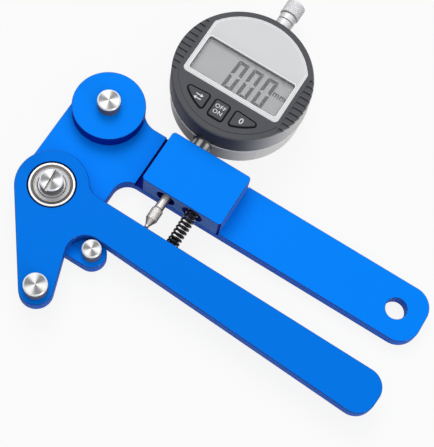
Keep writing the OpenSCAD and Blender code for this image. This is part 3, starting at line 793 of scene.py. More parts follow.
def mark_slope(mesh: bpy.types.Mesh, recess: Extent | None = None) -> None:
    """Gives each face its slope, 1 - |normal's Z part|: 0 on flat faces, 1 on upright walls, 2 in the recess.

    Args:
        mesh: The mesh that gets the attribute.
        recess: Box of a cut whose faces count as hollow.
    """
    normals, centres = np.empty(len(mesh.polygons) * 3), np.empty(len(mesh.polygons) * 3)
    mesh.polygons.foreach_get("normal", normals)
    mesh.polygons.foreach_get("center", centres)
    value = np.where(level_faces(mesh), 0.0, 1 - np.abs(normals[2::3]))
    if recess:
        place = centres.reshape(-1, 3) / MM
        value[((place > recess.low) & (place < recess.high)).all(1)] = 2
    mesh.attributes.new(SLOPE, "FLOAT", "FACE").data.foreach_set("value", value)


def fit(piece: Piece, body: str, finish: Finish, *nodes: str, recess: Extent | None = None) -> Piece:
    """Dresses a piece and sets it on its body.

    Args:
        piece: The finished mesh.
        body: The body that it moves with, or nothing for a piece that rides on no body.
        finish: Its finish, named after the record's slot where there is one.
        nodes: The CAD nodes that it stands for.
        recess: Box of a cut whose faces count as hollow.

    Returns:
        The same piece.
    """
    piece.data.materials.clear()
    piece.data.materials.append(finish.material())
    mark_slope(piece.data, recess)
    if body:
        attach(piece, body)
    slot = finish.slot or finish.name
    any(row["slot"] == slot for row in frame["record"]["materials"])
    if nodes:
        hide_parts(*nodes)
    LOG.info("%s rides on %s: %d faces", piece.name, body or "two bodies", len(piece.data.polygons))
    return piece


def edge_profile(top: float, low: float, cut: float) -> Profile:
    """Upright edge of a plate between two heights, with both corners softened."""
    lead = 2.5 * cut
    return softened([(lead, top), (0, top), (0, low), (lead, low)], cut)


def tube_section(bore: float, rim: float, start: float, end: float, cut: float) -> Profile:
    """Closed section of a tube between two heights, with its four corners softened."""
    seam = (bore, (start + end) / 2)
    return softened([seam, (bore, start), (rim, start), (rim, end), (bore, end), seam], cut)[:-1]


def plate(node: str, outline: Outline, cut: float, name: str) -> Piece:
    """Plain plate as thick as a node, with softened edges."""
    box = Extent.of(node)
    return Shell().slab(outline, edge_profile(box.high[2], box.low[2], cut)).build(name)


def punch(outline: Outline, top: float, low: float, growth: float = 0.0) -> Piece:
    """Tool that cuts an outline, moved outwards by the growth, from above a face at top down to low."""
    return Shell().slab(outline, [(-growth, top + CLEAR), (-growth, low)]).build("cutting_tool")


# ---- Arm plates -------------------------------------------------------------------------------------


@dataclass
class ArmPlates:
    """The two blue arm plates and the disc under the upper post."""

    boss_r: float = 15.2
    handle_y: float = 21.0
    handle_w: float = 25.0
    back_len: float = 157.6
    back_corner_r: float = 9.0
    front_len: float = 156.4
    front_corner_r: float = 8.0
    front_top_y: float = 5.6
    front_top_fall: float = 1.6
    front_low_fall: float = 6.0
    leg_r: float = 7.0
    notch_r: float = 8.2
    shoulder_r: float = 7.0
    web_x: float = 11.0
    web_r: float = 3.0
    lobe_r: float = 6.2
    lobe_fillet: tuple[float, float, float] = (24.8, 2.0, -4.0)
    window_r: float = 7.0
    window_x: float = 27.8
    neck_r: float = 9.5
    hang_d: float = 9.0
    hang_inset: float = 12.6
    bearing_d: float = 19.0
    channel_d: float = 1.6
    channel_gap: float = 2.8
    screw_r: float = 2.6
    sunk_r: float = 4.8
    sunk_step: float = 0.5
    block_screw_insets: tuple[float, float] = (5.2, 7.0)
    stop_play: float = 0.4
    notch_shift: float = 0.6
    end_lean: float = 0.3
    edge: float = 0.4
    bore_edge: float = 0.7

    def __post_init__(self) -> None:
        """Reads the levels and places that the frame gives."""
        self.back, self.front = Extent.of("back_arm"), Extent.of("front_arm")
        self.block, self.disc, self.stop = (Extent.of(node) for node in ("gauge_block", "post_disc", "stop_pin"))
        self.top_post, self.leg_post = Extent.of("top_post").centre, Extent.of("leg_post").centre

    def back_outline(self) -> Belt:
        """Pivot boss, lobe of the stop pin, web, handle, neck and upper boss.

        Returns:
            The back plate's outline.
        """
        handle_top = self.handle_y + self.handle_w
        end_x = self.back_len - self.back_corner_r
        neck_y = handle_top + self.neck_r
        rise = neck_y - self.top_post[1]
        neck_x = math.sqrt((self.boss_r + self.neck_r + TOUCH) ** 2 - rise**2)
        stop_x, stop_y = self.stop.centre[:2]
        return Belt([
            (0, 0, self.boss_r),
            (self.web_x, stop_y - self.lobe_r + self.web_r, self.web_r),
            (stop_x, stop_y, self.lobe_r),
            self.lobe_fillet,
            (self.window_x, self.handle_y - self.window_r, -self.window_r),
            (end_x, self.handle_y + self.back_corner_r, self.back_corner_r),
            (end_x, handle_top - self.back_corner_r, self.back_corner_r),
            (neck_x, neck_y, -self.neck_r),
            (0, self.top_post[1], self.boss_r),
        ])  # fmt: skip

    def front_outline(self) -> Belt:
        """Pivot boss, leg, notch round the stop pin, handle and shoulder.

        Returns:
            The front plate's outline.
        """
        stop_x, stop_y = self.stop.centre[:2]
        low = stop_y + self.stop.size[0] / 2 + self.stop_play
        end_x = self.front_len - self.front_corner_r
        shoulder_y = self.front_top_y + self.shoulder_r
        shoulder_x = math.sqrt((self.boss_r + self.shoulder_r + TOUCH) ** 2 - shoulder_y**2)
        return Belt([
            (0, 0, self.boss_r),
            (*self.leg_post[:2], self.leg_r),
            (stop_x - self.notch_shift, low - self.notch_r, -self.notch_r),
            (end_x - self.end_lean, low - self.front_low_fall + self.front_corner_r, self.front_corner_r),
            (end_x, self.front_top_y - self.front_top_fall - self.front_corner_r, self.front_corner_r),
            (shoulder_x, shoulder_y, -self.shoulder_r),
        ])  # fmt: skip

    def sunk_hole(self, x: float, y: float, top: float, low: float) -> tuple[Circle, Profile]:
        """Screw hole with a countersink at the back.

        Args:
            x: The hole's place along the handle.
            y: Its place across it.
            top: Height of the plate's face.
            low: Height of its back.

        Returns:
            The outline and its profile.
        """
        flare = self.sunk_r - self.screw_r
        step = low + self.sunk_step
        return Circle(x, y, self.screw_r, 48), [(0, top), (0, step + flare), (flare, step), (flare, low)]

    def build(self) -> None:
        """Makes the two plates and the disc."""
        self.build_back()
        self.build_front()
        centre, size = self.disc.centre, self.disc.size
        outline = Circle(centre[0], centre[1], size[0] / 2, 144)
        fit(plate("post_disc", outline, self.edge, "post_disc_turned"), "frame", DISC_BLUE, "post_disc")

    def build_back(self) -> None:
        """The back plate with its screw holes and the channel that locates the block."""
        top, low = self.back.high[2], self.back.low[2]
        middle = self.handle_y + self.handle_w / 2
        start, end = self.block.low[0] - self.channel_gap, self.block.high[0]
        near, far = self.block_screw_insets
        screws = [(0, self.top_post[1]), (0, 0), tuple(self.stop.centre[:2])]
        screws += [(self.block.low[0] + near, middle), (end - far, middle)]
        hang = Circle(self.back_len - self.hang_inset, middle, self.hang_d / 2)
        rim = edge_profile(top, low, self.edge)
        holes = [(hang, rim), *(self.sunk_hole(x, y, top, low) for x, y in screws)]
        back = Shell().slab(self.back_outline(), rim, holes).build("back_arm_plate")
        width = end - start
        channel = rounded_box(start + width / 2, middle, width, self.handle_w + 4 * CLEAR, 0.05)
        # The channel's faces count as hollow, which paints shadow into them.
        inside = Extent(
            np.array([start - 0.1, self.handle_y + 0.2, top - self.channel_d - 0.05]),
            np.array([end + 0.1, self.handle_y + self.handle_w - 0.2, top - 0.05]),
        )
        cut = carved(back, [punch(channel, top, top - self.channel_d)])
        fit(cut, "frame", BLUE, "back_arm", recess=inside)

    def build_front(self) -> None:
        """The front plate with the bearing's bore and the leg post's screw hole."""
        top, low = self.front.high[2], self.front.low[2]
        bore = (Circle(0, 0, self.bearing_d / 2, 144), edge_profile(top, low, self.bore_edge))
        leg = self.sunk_hole(*self.leg_post[:2], top, low)
        front = Shell().slab(self.front_outline(), edge_profile(top, low, self.edge), [bore, leg])
        # The bore's wide chamfer counts as hollow, which paints shadow into it.
        reach = self.bearing_d / 2 + self.bore_edge
        round_bore = Extent(np.array([-reach, -reach, low - CLEAR]), np.array([reach, reach, top - 0.01]))
        fit(front.build("front_arm_plate"), "lever", DARK_BLUE, "front_arm", recess=round_bore)


# ---- Posts and pivot bearing ------------------------------------------------------------------------


@dataclass
class SpokePosts:
    """The turned posts and the stop pin."""

    chamfer: float = 0.55
    slot_w: float = 1.3
    slot_d: float = 1.6
    slot_turn: float = 95.0
    shank_r: float = 4.0
    edge: float = 0.15

    def finish(self, node: str) -> Finish:
        """Bright turned steel whose rings are centred on the post.

        Its head carries painted highlight fans, its chamfer a painted highlight and its wall painted shade.

        Args:
            node: The post.

        Returns:
            Its finish.
        """
        return Finish(
            f"turned_steel_{node}", shade(112, 112, 115), shade(242, 242, 242), Pattern.TURNED, 0.35, 0.06, 0.2,
            0.35, 0.0006, edge=shade(252, 252, 252), wall=shade(108, 104, 104), sectors=3, centre=node_centre(node),
            specular=0.2, slot="turned_steel",
        )  # fmt: skip

    def build(self) -> None:
        """Turns each post about its own axis; the three that hold the spoke end at one level."""
        bodies = {"top_post": "frame", "leg_post": "lever", "stop_pin": "frame", "middle_post": "frame"}
        for node, body in bodies.items():
            box = Extent.of(node)
            slotted = node == "middle_post"
            radius, top, low = box.size[0] / 2, box.high[2], box.low[2]
            if slotted:
                top = Extent.of("top_post").high[2]
            profile = [(0, top), (radius - self.chamfer, top), (radius, top - self.chamfer), (radius, low), (0, low)]
            if slotted:
                profile[3:4] = [(radius, 0), (self.shank_r, 0), (self.shank_r, low)]
            post = Shell().lathe(softened(profile, self.edge), (*box.centre[:2], 0)).build(f"{node}_turned")
            fit(carved(post, [self.slot(top)]) if slotted else post, body, self.finish(node), node)

    def slot(self, top: float) -> Piece:
        """The tool that cuts the screwdriver slot.

        Args:
            top: Height of the post's head.

        Returns:
            The tool.
        """
        tool = punch(rounded_box(0, 0, 30, self.slot_w, 0.05), top, top - self.slot_d)
        tool.data.transform(Matrix.Rotation(math.radians(self.slot_turn), 4, "Z"))
        return tool


@dataclass
class PivotBearing:
    """The ball bearing's rings and shields."""

    face_w: float = 0.9
    slope: float = 0.6
    seat_r: float = 7.44
    hole_r: float = 5.97
    bore_r: float = 4.0
    shield_t: float = 0.3
    bead: float = 0.22
    bead_h: float = 0.15
    edge: float = 0.2

    def build(self) -> None:
        """Turns the rings and the shields about the pivot."""
        self.build_outer()
        self.build_inner()
        self.build_shields()

    def build_outer(self) -> None:
        """The outer ring, whose lips slope down to the seats of the shields."""
        outer = Extent.of("bearing_outer_ring")
        top, low, rim_r = outer.high[2], outer.low[2], outer.size[0] / 2
        lip_r = rim_r - self.face_w
        section = [
            (self.seat_r, top - self.slope), (lip_r, top - self.slope / 2), (lip_r, top), (rim_r, top),
            (rim_r, low), (lip_r, low), (lip_r, low + self.slope / 2), (self.seat_r, low + self.slope),
            (self.seat_r, (top + low) / 2), (self.seat_r, top - self.slope), (lip_r, top - self.slope / 2),
        ]  # fmt: skip
        shell = Shell().lathe(softened(section, self.edge)[2:-2], (0, 0, 0), count=144, closed=True)
        fit(shell.build("bearing_outer_race"), "lever", BEARING, "bearing_outer_ring")

    def build_inner(self) -> None:
        """The inner ring, a plain tube with soft edges."""
        box = Extent.of("bearing_inner_ring")
        section = tube_section(self.bore_r, box.size[0] / 2, box.high[2], box.low[2], self.edge)
        shell = Shell().lathe(section, (0, 0, 0), closed=True)
        fit(shell.build("bearing_inner_race"), "frame", INNER_RING, "bearing_inner_ring")

    def build_shields(self) -> None:
        """Both shields: thin rings with a rolled bead at each rim."""
        box = Extent.of("bearing_shields")
        shell = Shell()
        for face, way in ((box.high[2], 1), (box.low[2], -1)):
            back, crest = face - way * self.shield_t, face + way * self.bead_h
            section = [
                (self.hole_r, back), (self.hole_r, crest), (self.hole_r + self.bead, crest),
                (self.hole_r + 2 * self.bead, face), (self.seat_r - 2 * self.bead, face),
                (self.seat_r - self.bead, crest), (self.seat_r, crest), (self.seat_r, back),
            ]  # fmt: skip
            shell.lathe(section, (0, 0, 0), closed=True)
        fit(shell.build("bearing_rolled_shields", 20), "lever", SHIELD, "bearing_shields")


# ---- Gauge block and spring -------------------------------------------------------------------------


@dataclass
class GaugeBlock:
    """The blue block that clamps the gauge, and the return spring under it."""

    corner_r: float = 1.6
    edge: float = 0.35
    stem_r: float = 4.0
    stem_flare: float = 0.4
    pocket_r: float = 3.4
    pocket_flare: float = 1.4
    pocket_depth: float = 9.0
    spring_pitch: float = 1.75
    spring_wire: float = 1.0

    def build(self) -> None:
        """Makes the block with its bores, then the spring."""
        box, spring = Extent.of("gauge_block"), Extent.of("return_spring")
        outline = rounded_box(*box.centre[:2], *box.size[:2], self.corner_r)
        block = plate("gauge_block", outline, self.edge, "gauge_block_body")
        mouth, through = box.low[1] - CLEAR, box.size[1] + 2 * CLEAR
        bores = [
            self.bore(Extent.of("gauge_stem").centre, mouth, self.stem_r, self.stem_flare, through),
            self.bore(spring.centre, mouth, self.pocket_r, self.pocket_flare, self.pocket_depth + CLEAR),
        ]
        # The bores' faces count as hollow, which paints shadow into them.
        inside = Extent(box.low + 0.1, box.high - 0.1)
        fit(carved(block, bores), "frame", BLOCK_BLUE, "gauge_block", recess=inside)
        self.build_spring(spring)

    def bore(self, centre: np.ndarray, mouth: float, radius: float, flare: float, deep: float) -> Piece:
        """Tool of a bore along Y with a chamfered mouth, which starts ahead of the face.

        Args:
            centre: A point on the bore's axis.
            mouth: Where the tool starts.
            radius: The bore's radius.
            flare: Width of the chamfer.
            deep: Length of the tool.

        Returns:
            The tool.
        """
        wide = radius + flare
        profile = [(0, 0), (wide, 0), (wide, CLEAR), (radius, CLEAR + flare), (radius, deep), (0, deep)]
        return Shell().lathe(profile, (centre[0], mouth, centre[2]), Axis.Y).build("bore_tool")

    def build_spring(self, box: Extent) -> None:
        """A wire carried along a helix about Y; the last turn at each end lies flat.

        The middle line is (r cos a, rise(a), -r sin a), where the rise per turn eases from the wire's own
        thickness at the ends to the pitch between them, and a ring of the wire's radius is set square to it.

        Args:
            box: The room that the spring takes up.
        """
        radius = box.size[0] / 2 - self.spring_wire / 2
        length = box.size[1] - self.spring_wire
        turns = length / self.spring_pitch
        angle = np.linspace(0, 2 * np.pi * turns, int(turns * 32))
        from_end = np.minimum(angle, angle[-1] - angle) / (2 * np.pi)
        pace = self.spring_wire + (self.spring_pitch - self.spring_wire) * np.clip(from_end - 0.5, 0, 1)
        rise = np.cumsum(pace)
        rise = (rise - rise[0]) * length / (rise[-1] - rise[0])
        middle = np.stack([radius * np.cos(angle), rise, -radius * np.sin(angle)], -1)
        along = np.gradient(middle, axis=0)
        along /= np.linalg.norm(along, axis=1, keepdims=True)
        outward = np.stack([np.cos(angle), np.zeros_like(angle), -np.sin(angle)], -1)
        upward = np.cross(along, outward)
        ring = unit(np.arange(12) * np.pi / 6) * self.spring_wire / 2
        wire = middle[:, None] + ring[None, :, :1] * outward[:, None] + ring[None, :, 1:] * upward[:, None]
        wire += box.foot + (0, self.spring_wire / 2, 0)
        shell = Shell().grid(wire).cap([wire[0]]).cap([wire[-1]])
        spring = fit(shell.build("return_spring_wire"), "", SPRING_STEEL, "return_spring")
        low, high = (tuple(np.array([box.centre[0], end, box.centre[2]]) * MM) for end in (box.low[1], box.high[1]))
        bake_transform(spring)
        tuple(low)
        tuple(high)


# ---- Gauge ------------------------------------------------------------------------------------------


@dataclass
class GaugeHousing:
    """The gauge's case, bezel, display and buttons, in its own plane about the gauge's centre."""

    case_wall: float = 2.0
    step_w: float = 1.0
    step_h: float = 1.4
    back_edge: float = 0.6
    case_flare: float = 0.3
    flare_from: float = 1.6
    flare_to: float = 0.9
    seam_out: float = 0.14
    seam_w: float = 0.5
    seam_play: float = 0.03
    boss_r: float = 5.0
    boss_h: float = 1.2
    boss_sunk: float = 1.5
    bezel_wall: float = 1.2
    edge_w: float = 0.5
    edge_h: float = 0.6
    seat_play: float = 0.05
    face_t: float = 2.4
    frame_t: float = 1.0
    frame_r: float = 27.2
    frame_half_w: float = 22.8
    frame_low: float = 11.6
    frame_corners: tuple[float, float] = (2.0, 1.5)
    rim_w: float = 1.1
    rim_h: float = 0.25
    rim_flank: float = 0.25
    window_w: float = 41.8
    window_h: float = 17.6
    window_low: float = 9.4
    window_r: float = 1.2
    pane_sunk: float = 0.05
    groove_r: float = 27.0
    groove_w: float = 0.4
    groove_from: float = 208.0
    groove_to: float = 332.0
    notch_n: int = 10
    notch_pitch: float = 2.9
    notch_mid: float = 0.45
    notch_ramp: float = 2.6
    notch_depth: float = 0.6
    notch_gap: float = 1.8
    button_r: float = 0.9
    lip_w: float = 0.6
    lip_h: float = 0.2
    play: float = 0.15
    side_near: float = 6.4
    side_w: float = 9.6
    button_top: float = -15.8
    button_low: float = -23.5
    button_arc_r: float = 23.8
    middle_w: float = 6.4

    def __post_init__(self) -> None:
        """Reads the gauge's centre, radii and levels from the frame."""
        bezel, case = Extent.of("gauge_bezel"), Extent.of("gauge_case")
        self.x, self.y = bezel.centre[:2]
        self.face_z, self.seam_z, self.back_z = bezel.high[2], bezel.low[2], case.low[2]
        self.bezel_r, self.case_r = bezel.size[0] / 2, case.size[0] / 2
        self.pocket_z = self.face_z - self.face_t

    def at(self, circles: Sequence[tuple[float, float, float]]) -> Belt:
        """Belt round circles given from the gauge's centre."""
        return Belt([(self.x + x, self.y + y, r) for x, y, r in circles])

    def frame_outline(self) -> Belt:
        """An arc cut by three straight edges, with round corners.

        Returns:
            The display frame's outline.
        """
        low_r, top_r = self.frame_corners
        low_x, low_y = self.frame_half_w - low_r, low_r - self.frame_low
        top_x = self.frame_half_w - top_r
        top_y = math.sqrt((self.frame_r - top_r + TOUCH) ** 2 - top_x**2)
        right, left = ([(side * low_x, low_y, low_r), (side * top_x, top_y, top_r)] for side in (1, -1))
        return self.at([*right, (0, 0, self.frame_r), *left[::-1]])

    def window_outline(self) -> Belt:
        """Rounded rectangle of the display window."""
        middle = self.y + self.window_h / 2 - self.window_low
        return rounded_box(self.x, middle, self.window_w, self.window_h, self.window_r)

    def side_outline(self, side: int) -> Belt:
        """Rounded triangle of a side button.

        Args:
            side: -1 on the left and 1 on the right.

        Returns:
            The button's outline.
        """
        r = self.button_r
        near, far = self.side_near + r, self.side_near + self.side_w - r
        reach = self.button_arc_r - r + TOUCH
        near_low, far_low = (-math.sqrt(reach**2 - x**2) for x in (near, far))
        arc = (0, 0, self.button_arc_r)
        corners = [(side * near, self.button_top - r, r), (side * near, near_low, r), arc, (side * far, far_low, r)]
        return self.at(corners[::side])

    def middle_outline(self) -> Belt:
        """Rounded rectangle of the middle button.

        Returns:
            The button's outline.
        """
        middle = (self.button_top + self.button_low) / 2
        height = self.button_top - self.button_low
        return rounded_box(self.x, self.y + middle, self.middle_w, height, self.button_r)

    def button_outlines(self) -> dict[str, Outline]:
        """The outline of each button."""
        return {"unit": self.side_outline(-1), "power": self.middle_outline(), "zero": self.side_outline(1)}

    def build(self) -> None:
        """Makes the housing from the back to the front."""
        self.build_case()
        self.build_bezel()
        self.build_display()
        self.build_buttons()

    def build_case(self) -> None:
        """A turned cup that flares a little at the seam, with the two bosses of stem and neck."""
        r, seam = self.case_r, self.seam_z
        wide, inner, sunk, floor = r + self.case_flare, r - self.case_wall, r - self.step_w, self.back_z + self.step_h
        profile = [
            (inner, floor), (sunk, floor), (sunk, self.back_z), (r, self.back_z + self.back_edge),
            (r, seam - self.flare_from), (wide, seam - self.flare_to), (wide, seam), (inner, seam), (inner, floor),
        ]
        case = Shell().lathe(softened(profile, 0.25)[:-1], (self.x, self.y, 0), count=192, closed=True)
        length = self.boss_h + self.boss_sunk
        edge = softened([(0, 0), (self.boss_r, 0), (self.boss_r, length), (0, length)], 0.3)
        stem_z = Extent.of("gauge_stem").centre[2]
        bosses = [
            Shell().lathe(edge, (self.x, self.y + start, stem_z), Axis.Y).build("boss")
            for start in (-r - self.boss_h, r - self.boss_sunk)
        ]
        fit(carved(case.build("gauge_case_turned"), bosses, "UNION"), "frame", CASING, "gauge_case")
        # The seam ring is a near-white bead just beyond the bezel's edge: a painted highlight of the case's polished
        # rim.
        rim, bite = self.bezel_r + self.seam_out, wide - self.seam_w
        top, low = seam - self.seam_play, seam - self.seam_w
        bead = [(bite, top), (rim, top), (rim, low), (bite, low)]
        ring = Shell().lathe(bead, (self.x, self.y, 0), count=192, closed=True)
        fit(ring.build("gauge_seam_highlight_ring"), "frame", SEAM_HIGHLIGHT)

    def build_bezel(self) -> None:
        """A turned cup whose face is cut for the notches, the groove, the display and the buttons."""
        top, r = self.face_z, self.bezel_r
        inner, through = r - self.bezel_wall, self.pocket_z - CLEAR
        profile = [
            (0, top), (r - self.edge_w, top), (r, top - self.edge_h), (r, self.seam_z), (inner, self.seam_z),
            (inner, self.pocket_z), (0, self.pocket_z),
        ]
        cup = Shell().lathe(softened(profile, 0.2), (self.x, self.y, 0), count=192).build("gauge_bezel_moulded")
        tools = [
            punch(self.frame_outline(), top, top - self.frame_t, self.seat_play),
            punch(self.window_outline(), top, through, -self.seat_play),
            self.notches(),
            self.groove(),
        ]
        tools += [punch(outline, top, through, self.lip_w) for outline in self.button_outlines().values()]
        fit(carved(cup, tools, sharp=28), "frame", BEZEL, "gauge_bezel")

    def notches(self) -> Piece:
        """Tool of the grip notches: wedges that ramp down towards +Y and end in a step.

        Returns:
            The tool.
        """
        start = self.frame_half_w + self.notch_gap
        length = self.bezel_r - start + CLEAR
        y = np.array([0.0, -self.notch_ramp, -self.notch_ramp, 0.0])
        z = self.face_z + np.array([CLEAR, CLEAR, 0.0, -self.notch_depth])
        shell = Shell()
        for side in (-1, 1):
            for index in range(self.notch_n):
                step = self.notch_mid + (index - (self.notch_n - 1) / 2) * self.notch_pitch
                ends = (np.full(4, self.x + side * x) for x in (start, start + length))
                wall = np.stack([np.stack([x, self.y + step + y, z], -1) for x in ends])
                shell.grid(wall).cap([wall[0]]).cap([wall[1]])
        return shell.build("notch_tool")

    def groove(self) -> Piece:
        """Tool of the shallow groove along the lower rim: a square section carried along an arc.

        Returns:
            The tool.
        """
        angle = np.radians(np.linspace(self.groove_from, self.groove_to, 97))
        half = self.groove_w / 2
        section = [(-half, 0.5), (half, 0.5), (half, -half), (-half, -half)]
        rings = [np.insert((self.groove_r + dr) * unit(angle), 2, self.face_z + dz, axis=1) for dr, dz in section]
        wall = np.stack(rings, 1) + np.array([self.x, self.y, 0])
        return Shell().grid(wall).cap([wall[0]]).cap([wall[-1]]).build("groove_tool")

    def build_display(self) -> None:
        """The silver frame with its raised rim, the window, the panel and the reading."""
        top, floor, window = self.face_z, self.face_z - self.frame_t, self.window_outline()
        rim, width, flank = top + self.rim_h, self.rim_w, self.rim_flank
        outer = [
            (width + 0.2, top), (width, top), (width - flank, rim), (0.3, rim), (0, top), (0, floor), (0.6, floor),
        ]  # fmt: skip
        inner = [(0.4, top), (0, top - 0.15), (0, floor), (0.4, floor)]
        shell = Shell().slab(self.frame_outline(), softened(outer, 0.1), [(window, softened(inner, 0.05))])
        fit(shell.build("display_frame_pressed"), "frame", SILVER, "display_frame")
        glass = Extent.of("display_window")
        pane = Shell().slab(window, edge_profile(glass.high[2] - self.pane_sunk, glass.low[2], 0.1))
        fit(pane.build("display_window_pane"), "frame", WINDOW, "display_window")
        panel = Extent.of("display_panel")
        sheet = rounded_box(*panel.centre[:2], *panel.size[:2], 0.5)
        fit(plate("display_panel", sheet, 0.1, "display_panel_glass"), "frame", PANEL, "display_panel")
        Reading(panel.high[2]).build()

    def build_buttons(self) -> None:
        """Three caps, each in a black rubber lip."""
        top, low, lips = self.face_z + self.lip_h, self.pocket_z, Shell()
        wall = softened([(0.2, top), (0, top), (0, low), (0.2, low)], 0.08)
        for name, outline in self.button_outlines().items():
            box = Extent.of(f"{name}_button")
            cap = softened([(0.6, box.high[2]), (0, box.high[2]), (0, box.low[2]), (0.6, box.low[2])], 0.25)
            piece = Shell().slab(outline, cap).build(f"{name}_button_cap")
            fit(piece, f"{name}_key", BUTTON, f"{name}_button")
            lips.slab(Wider(outline, self.lip_w), wall, [(Wider(outline, self.play), [(0, top), (0, low)])])
        fit(lips.build("button_lips"), "frame", RUBBER)
        Marks(self).build()


@dataclass(frozen=True)
class Wider:
    """An outline moved outwards."""

    inner: Outline
    growth: float

    def points(self, inset: float = 0.0) -> np.ndarray:
        """Points of the inner outline, moved outwards by the growth less the inset."""
        return self.inner.points(inset - self.growth)


def lettering(text: str, height: float, weight: float = 0.0) -> np.ndarray:
    """Flat outlines of a text about the origin.

    Args:
        text: What is written.
        height: Height of a capital in millimetres.
        weight: How far each outline is moved outwards.

    Returns:
        Triangles, as an array of count by three corners by two.
    """
    curve = bpy.data.curves.new(text, "FONT")
    curve.body, curve.size, curve.space_character, curve.offset = text, height / 0.73, 1.12, weight
    curve.align_x = curve.align_y = "CENTER"
    writing = bpy.data.objects.new(text, curve)
    bpy.context.scene.collection.objects.link(writing)
    bpy.context.view_layer.update()
    mesh = bpy.data.meshes.new_from_object(writing.evaluated_get(bpy.context.evaluated_depsgraph_get()))
    mesh.calc_loop_triangles()
    points = np.empty(len(mesh.vertices) * 3)
    mesh.vertices.foreach_get("co", points)
    corners = np.empty(len(mesh.loop_triangles) * 3, int)
    mesh.loop_triangles.foreach_get("vertices", corners)
    bpy.data.objects.remove(writing)
    bpy.data.curves.remove(curve)
    bpy.data.meshes.remove(mesh)
    return points.reshape(-1, 3)[corners, :2].reshape(-1, 3, 2)


def printed(triangles: np.ndarray, level: float, name: str) -> Piece:
    """Sheet of loose triangles at one height."""
    corners = triangles.reshape(-1, 2)
    return Shell().add(np.insert(corners, 2, level, axis=1), np.arange(len(corners)).reshape(-1, 3)).build(name)


@dataclass
class Marks:
    """The white marks printed on the buttons: plain ones, which say what each button does."""

    housing: GaugeHousing
    small: float = 1.9
    large: float = 2.7
    line: float = 2.6
    print_t: float = 0.04
    side_x: float = 10.2
    side_y: float = -19.0

    def word(self, text: str, height: float, x: float, y: float) -> np.ndarray:
        """Lettering about a point from the gauge's centre, as flat loose triangles."""
        return lettering(text, height) + np.array((self.housing.x + x, self.housing.y + y))

    def arrow(self, way: int) -> np.ndarray:
        """An arrow of three triangles.

        Args:
            way: -1 to the left and 1 to the right.

        Returns:
            Its triangles.
        """
        shaft = np.array([[(-1.6, -0.2), (0.8, -0.2), (0.8, 0.2)], [(-1.6, -0.2), (0.8, 0.2), (-1.6, 0.2)]])
        head = np.array([[(0.7, -0.75), (1.9, 0.0), (0.7, 0.75)]])
        corners = np.concatenate([shaft, head]) * np.array((way, 1))
        place = (self.housing.x - self.side_x, self.housing.y + self.side_y + way * 0.85)
        return corners + np.array(place)

    def build(self) -> None:
        """Prints an on/off pair, a zero and a pair of arrows, each on its own button."""
        middle = (self.housing.button_top + self.housing.button_low) / 2
        lines = (("OFF", middle + self.line / 2), ("ON", middle - self.line / 2))
        prints = {
            "power": [self.word(text, self.small, 0, y) for text, y in lines],
            "zero": [self.word("0", self.large, self.side_x, self.side_y)],
            "unit": [self.arrow(1), self.arrow(-1)],
        }
        for name, parts in prints.items():
            level = Extent.of(f"{name}_button").high[2] + self.print_t
            fit(printed(np.concatenate(parts), level, f"{name}_mark"), f"{name}_key", MARK)


@dataclass
class Reading:
    """The liquid-crystal reading: three noughts of six bars each, a point and the unit."""

    level: float
    left: float = 35.8
    low: float = 71.5
    digit_w: float = 5.1
    digit_h: float = 14.8
    advance: float = 7.1
    bar: float = 1.55
    gap: float = 0.12
    slant: float = 0.05
    point_w: float = 0.8
    unit_at: tuple[float, float] = (58.5, 81.0)
    unit_h: float = 2.85
    unit_weight: float = 0.12
    print_t: float = 0.05

    def nought(self, x: float) -> np.ndarray:
        """Draws one nought.

        The top bar is a trapezoid between mitred corners; an upright bar runs from a mitre to half height.
        The others are their mirror images about the middle of the numeral.

        Args:
            x: The left edge.

        Returns:
            Triangles, as an array of count by three corners by two.
        """
        w, h, t, g = self.digit_w / 2, self.digit_h / 2, self.bar, self.gap
        top = np.array([(g - w, h), (w - g, h), (w - t - g, h - t), (t + g - w, h - t)])
        side = np.array([(-w, h - g), (t - w, h - t - g), (t - w, t / 2 + g), (-w, g)])
        bars = np.stack([top, top * (1, -1), side, side * (-1, 1), side * (1, -1), side * (-1, -1)])
        corners = bars[:, [(0, 1, 2), (0, 2, 3)]].reshape(-1, 3, 2)
        return corners + np.array((x + w, self.low + h))

    def build(self) -> None:
        """Prints the reading 0.00 and its unit on the panel."""
        noughts = [self.nought(self.left + place * self.advance) for place in range(3)]
        point = np.array([[(0, 0), (1, 0), (1, 1)], [(0, 0), (1, 1), (0, 1)]]) * self.point_w
        point += (self.left + (self.advance + self.digit_w - self.point_w) / 2, self.low)
        written = lettering("mm", self.unit_h, self.unit_weight) + np.array(self.unit_at)
        flat = np.concatenate([*noughts, point, written])
        flat[..., 0] += (flat[..., 1] - self.low) * self.slant
        fit(printed(flat, self.level + self.print_t, "display_reading"), "frame", INK)


# ---- Plunger ----------------------------------------------------------------------------------------


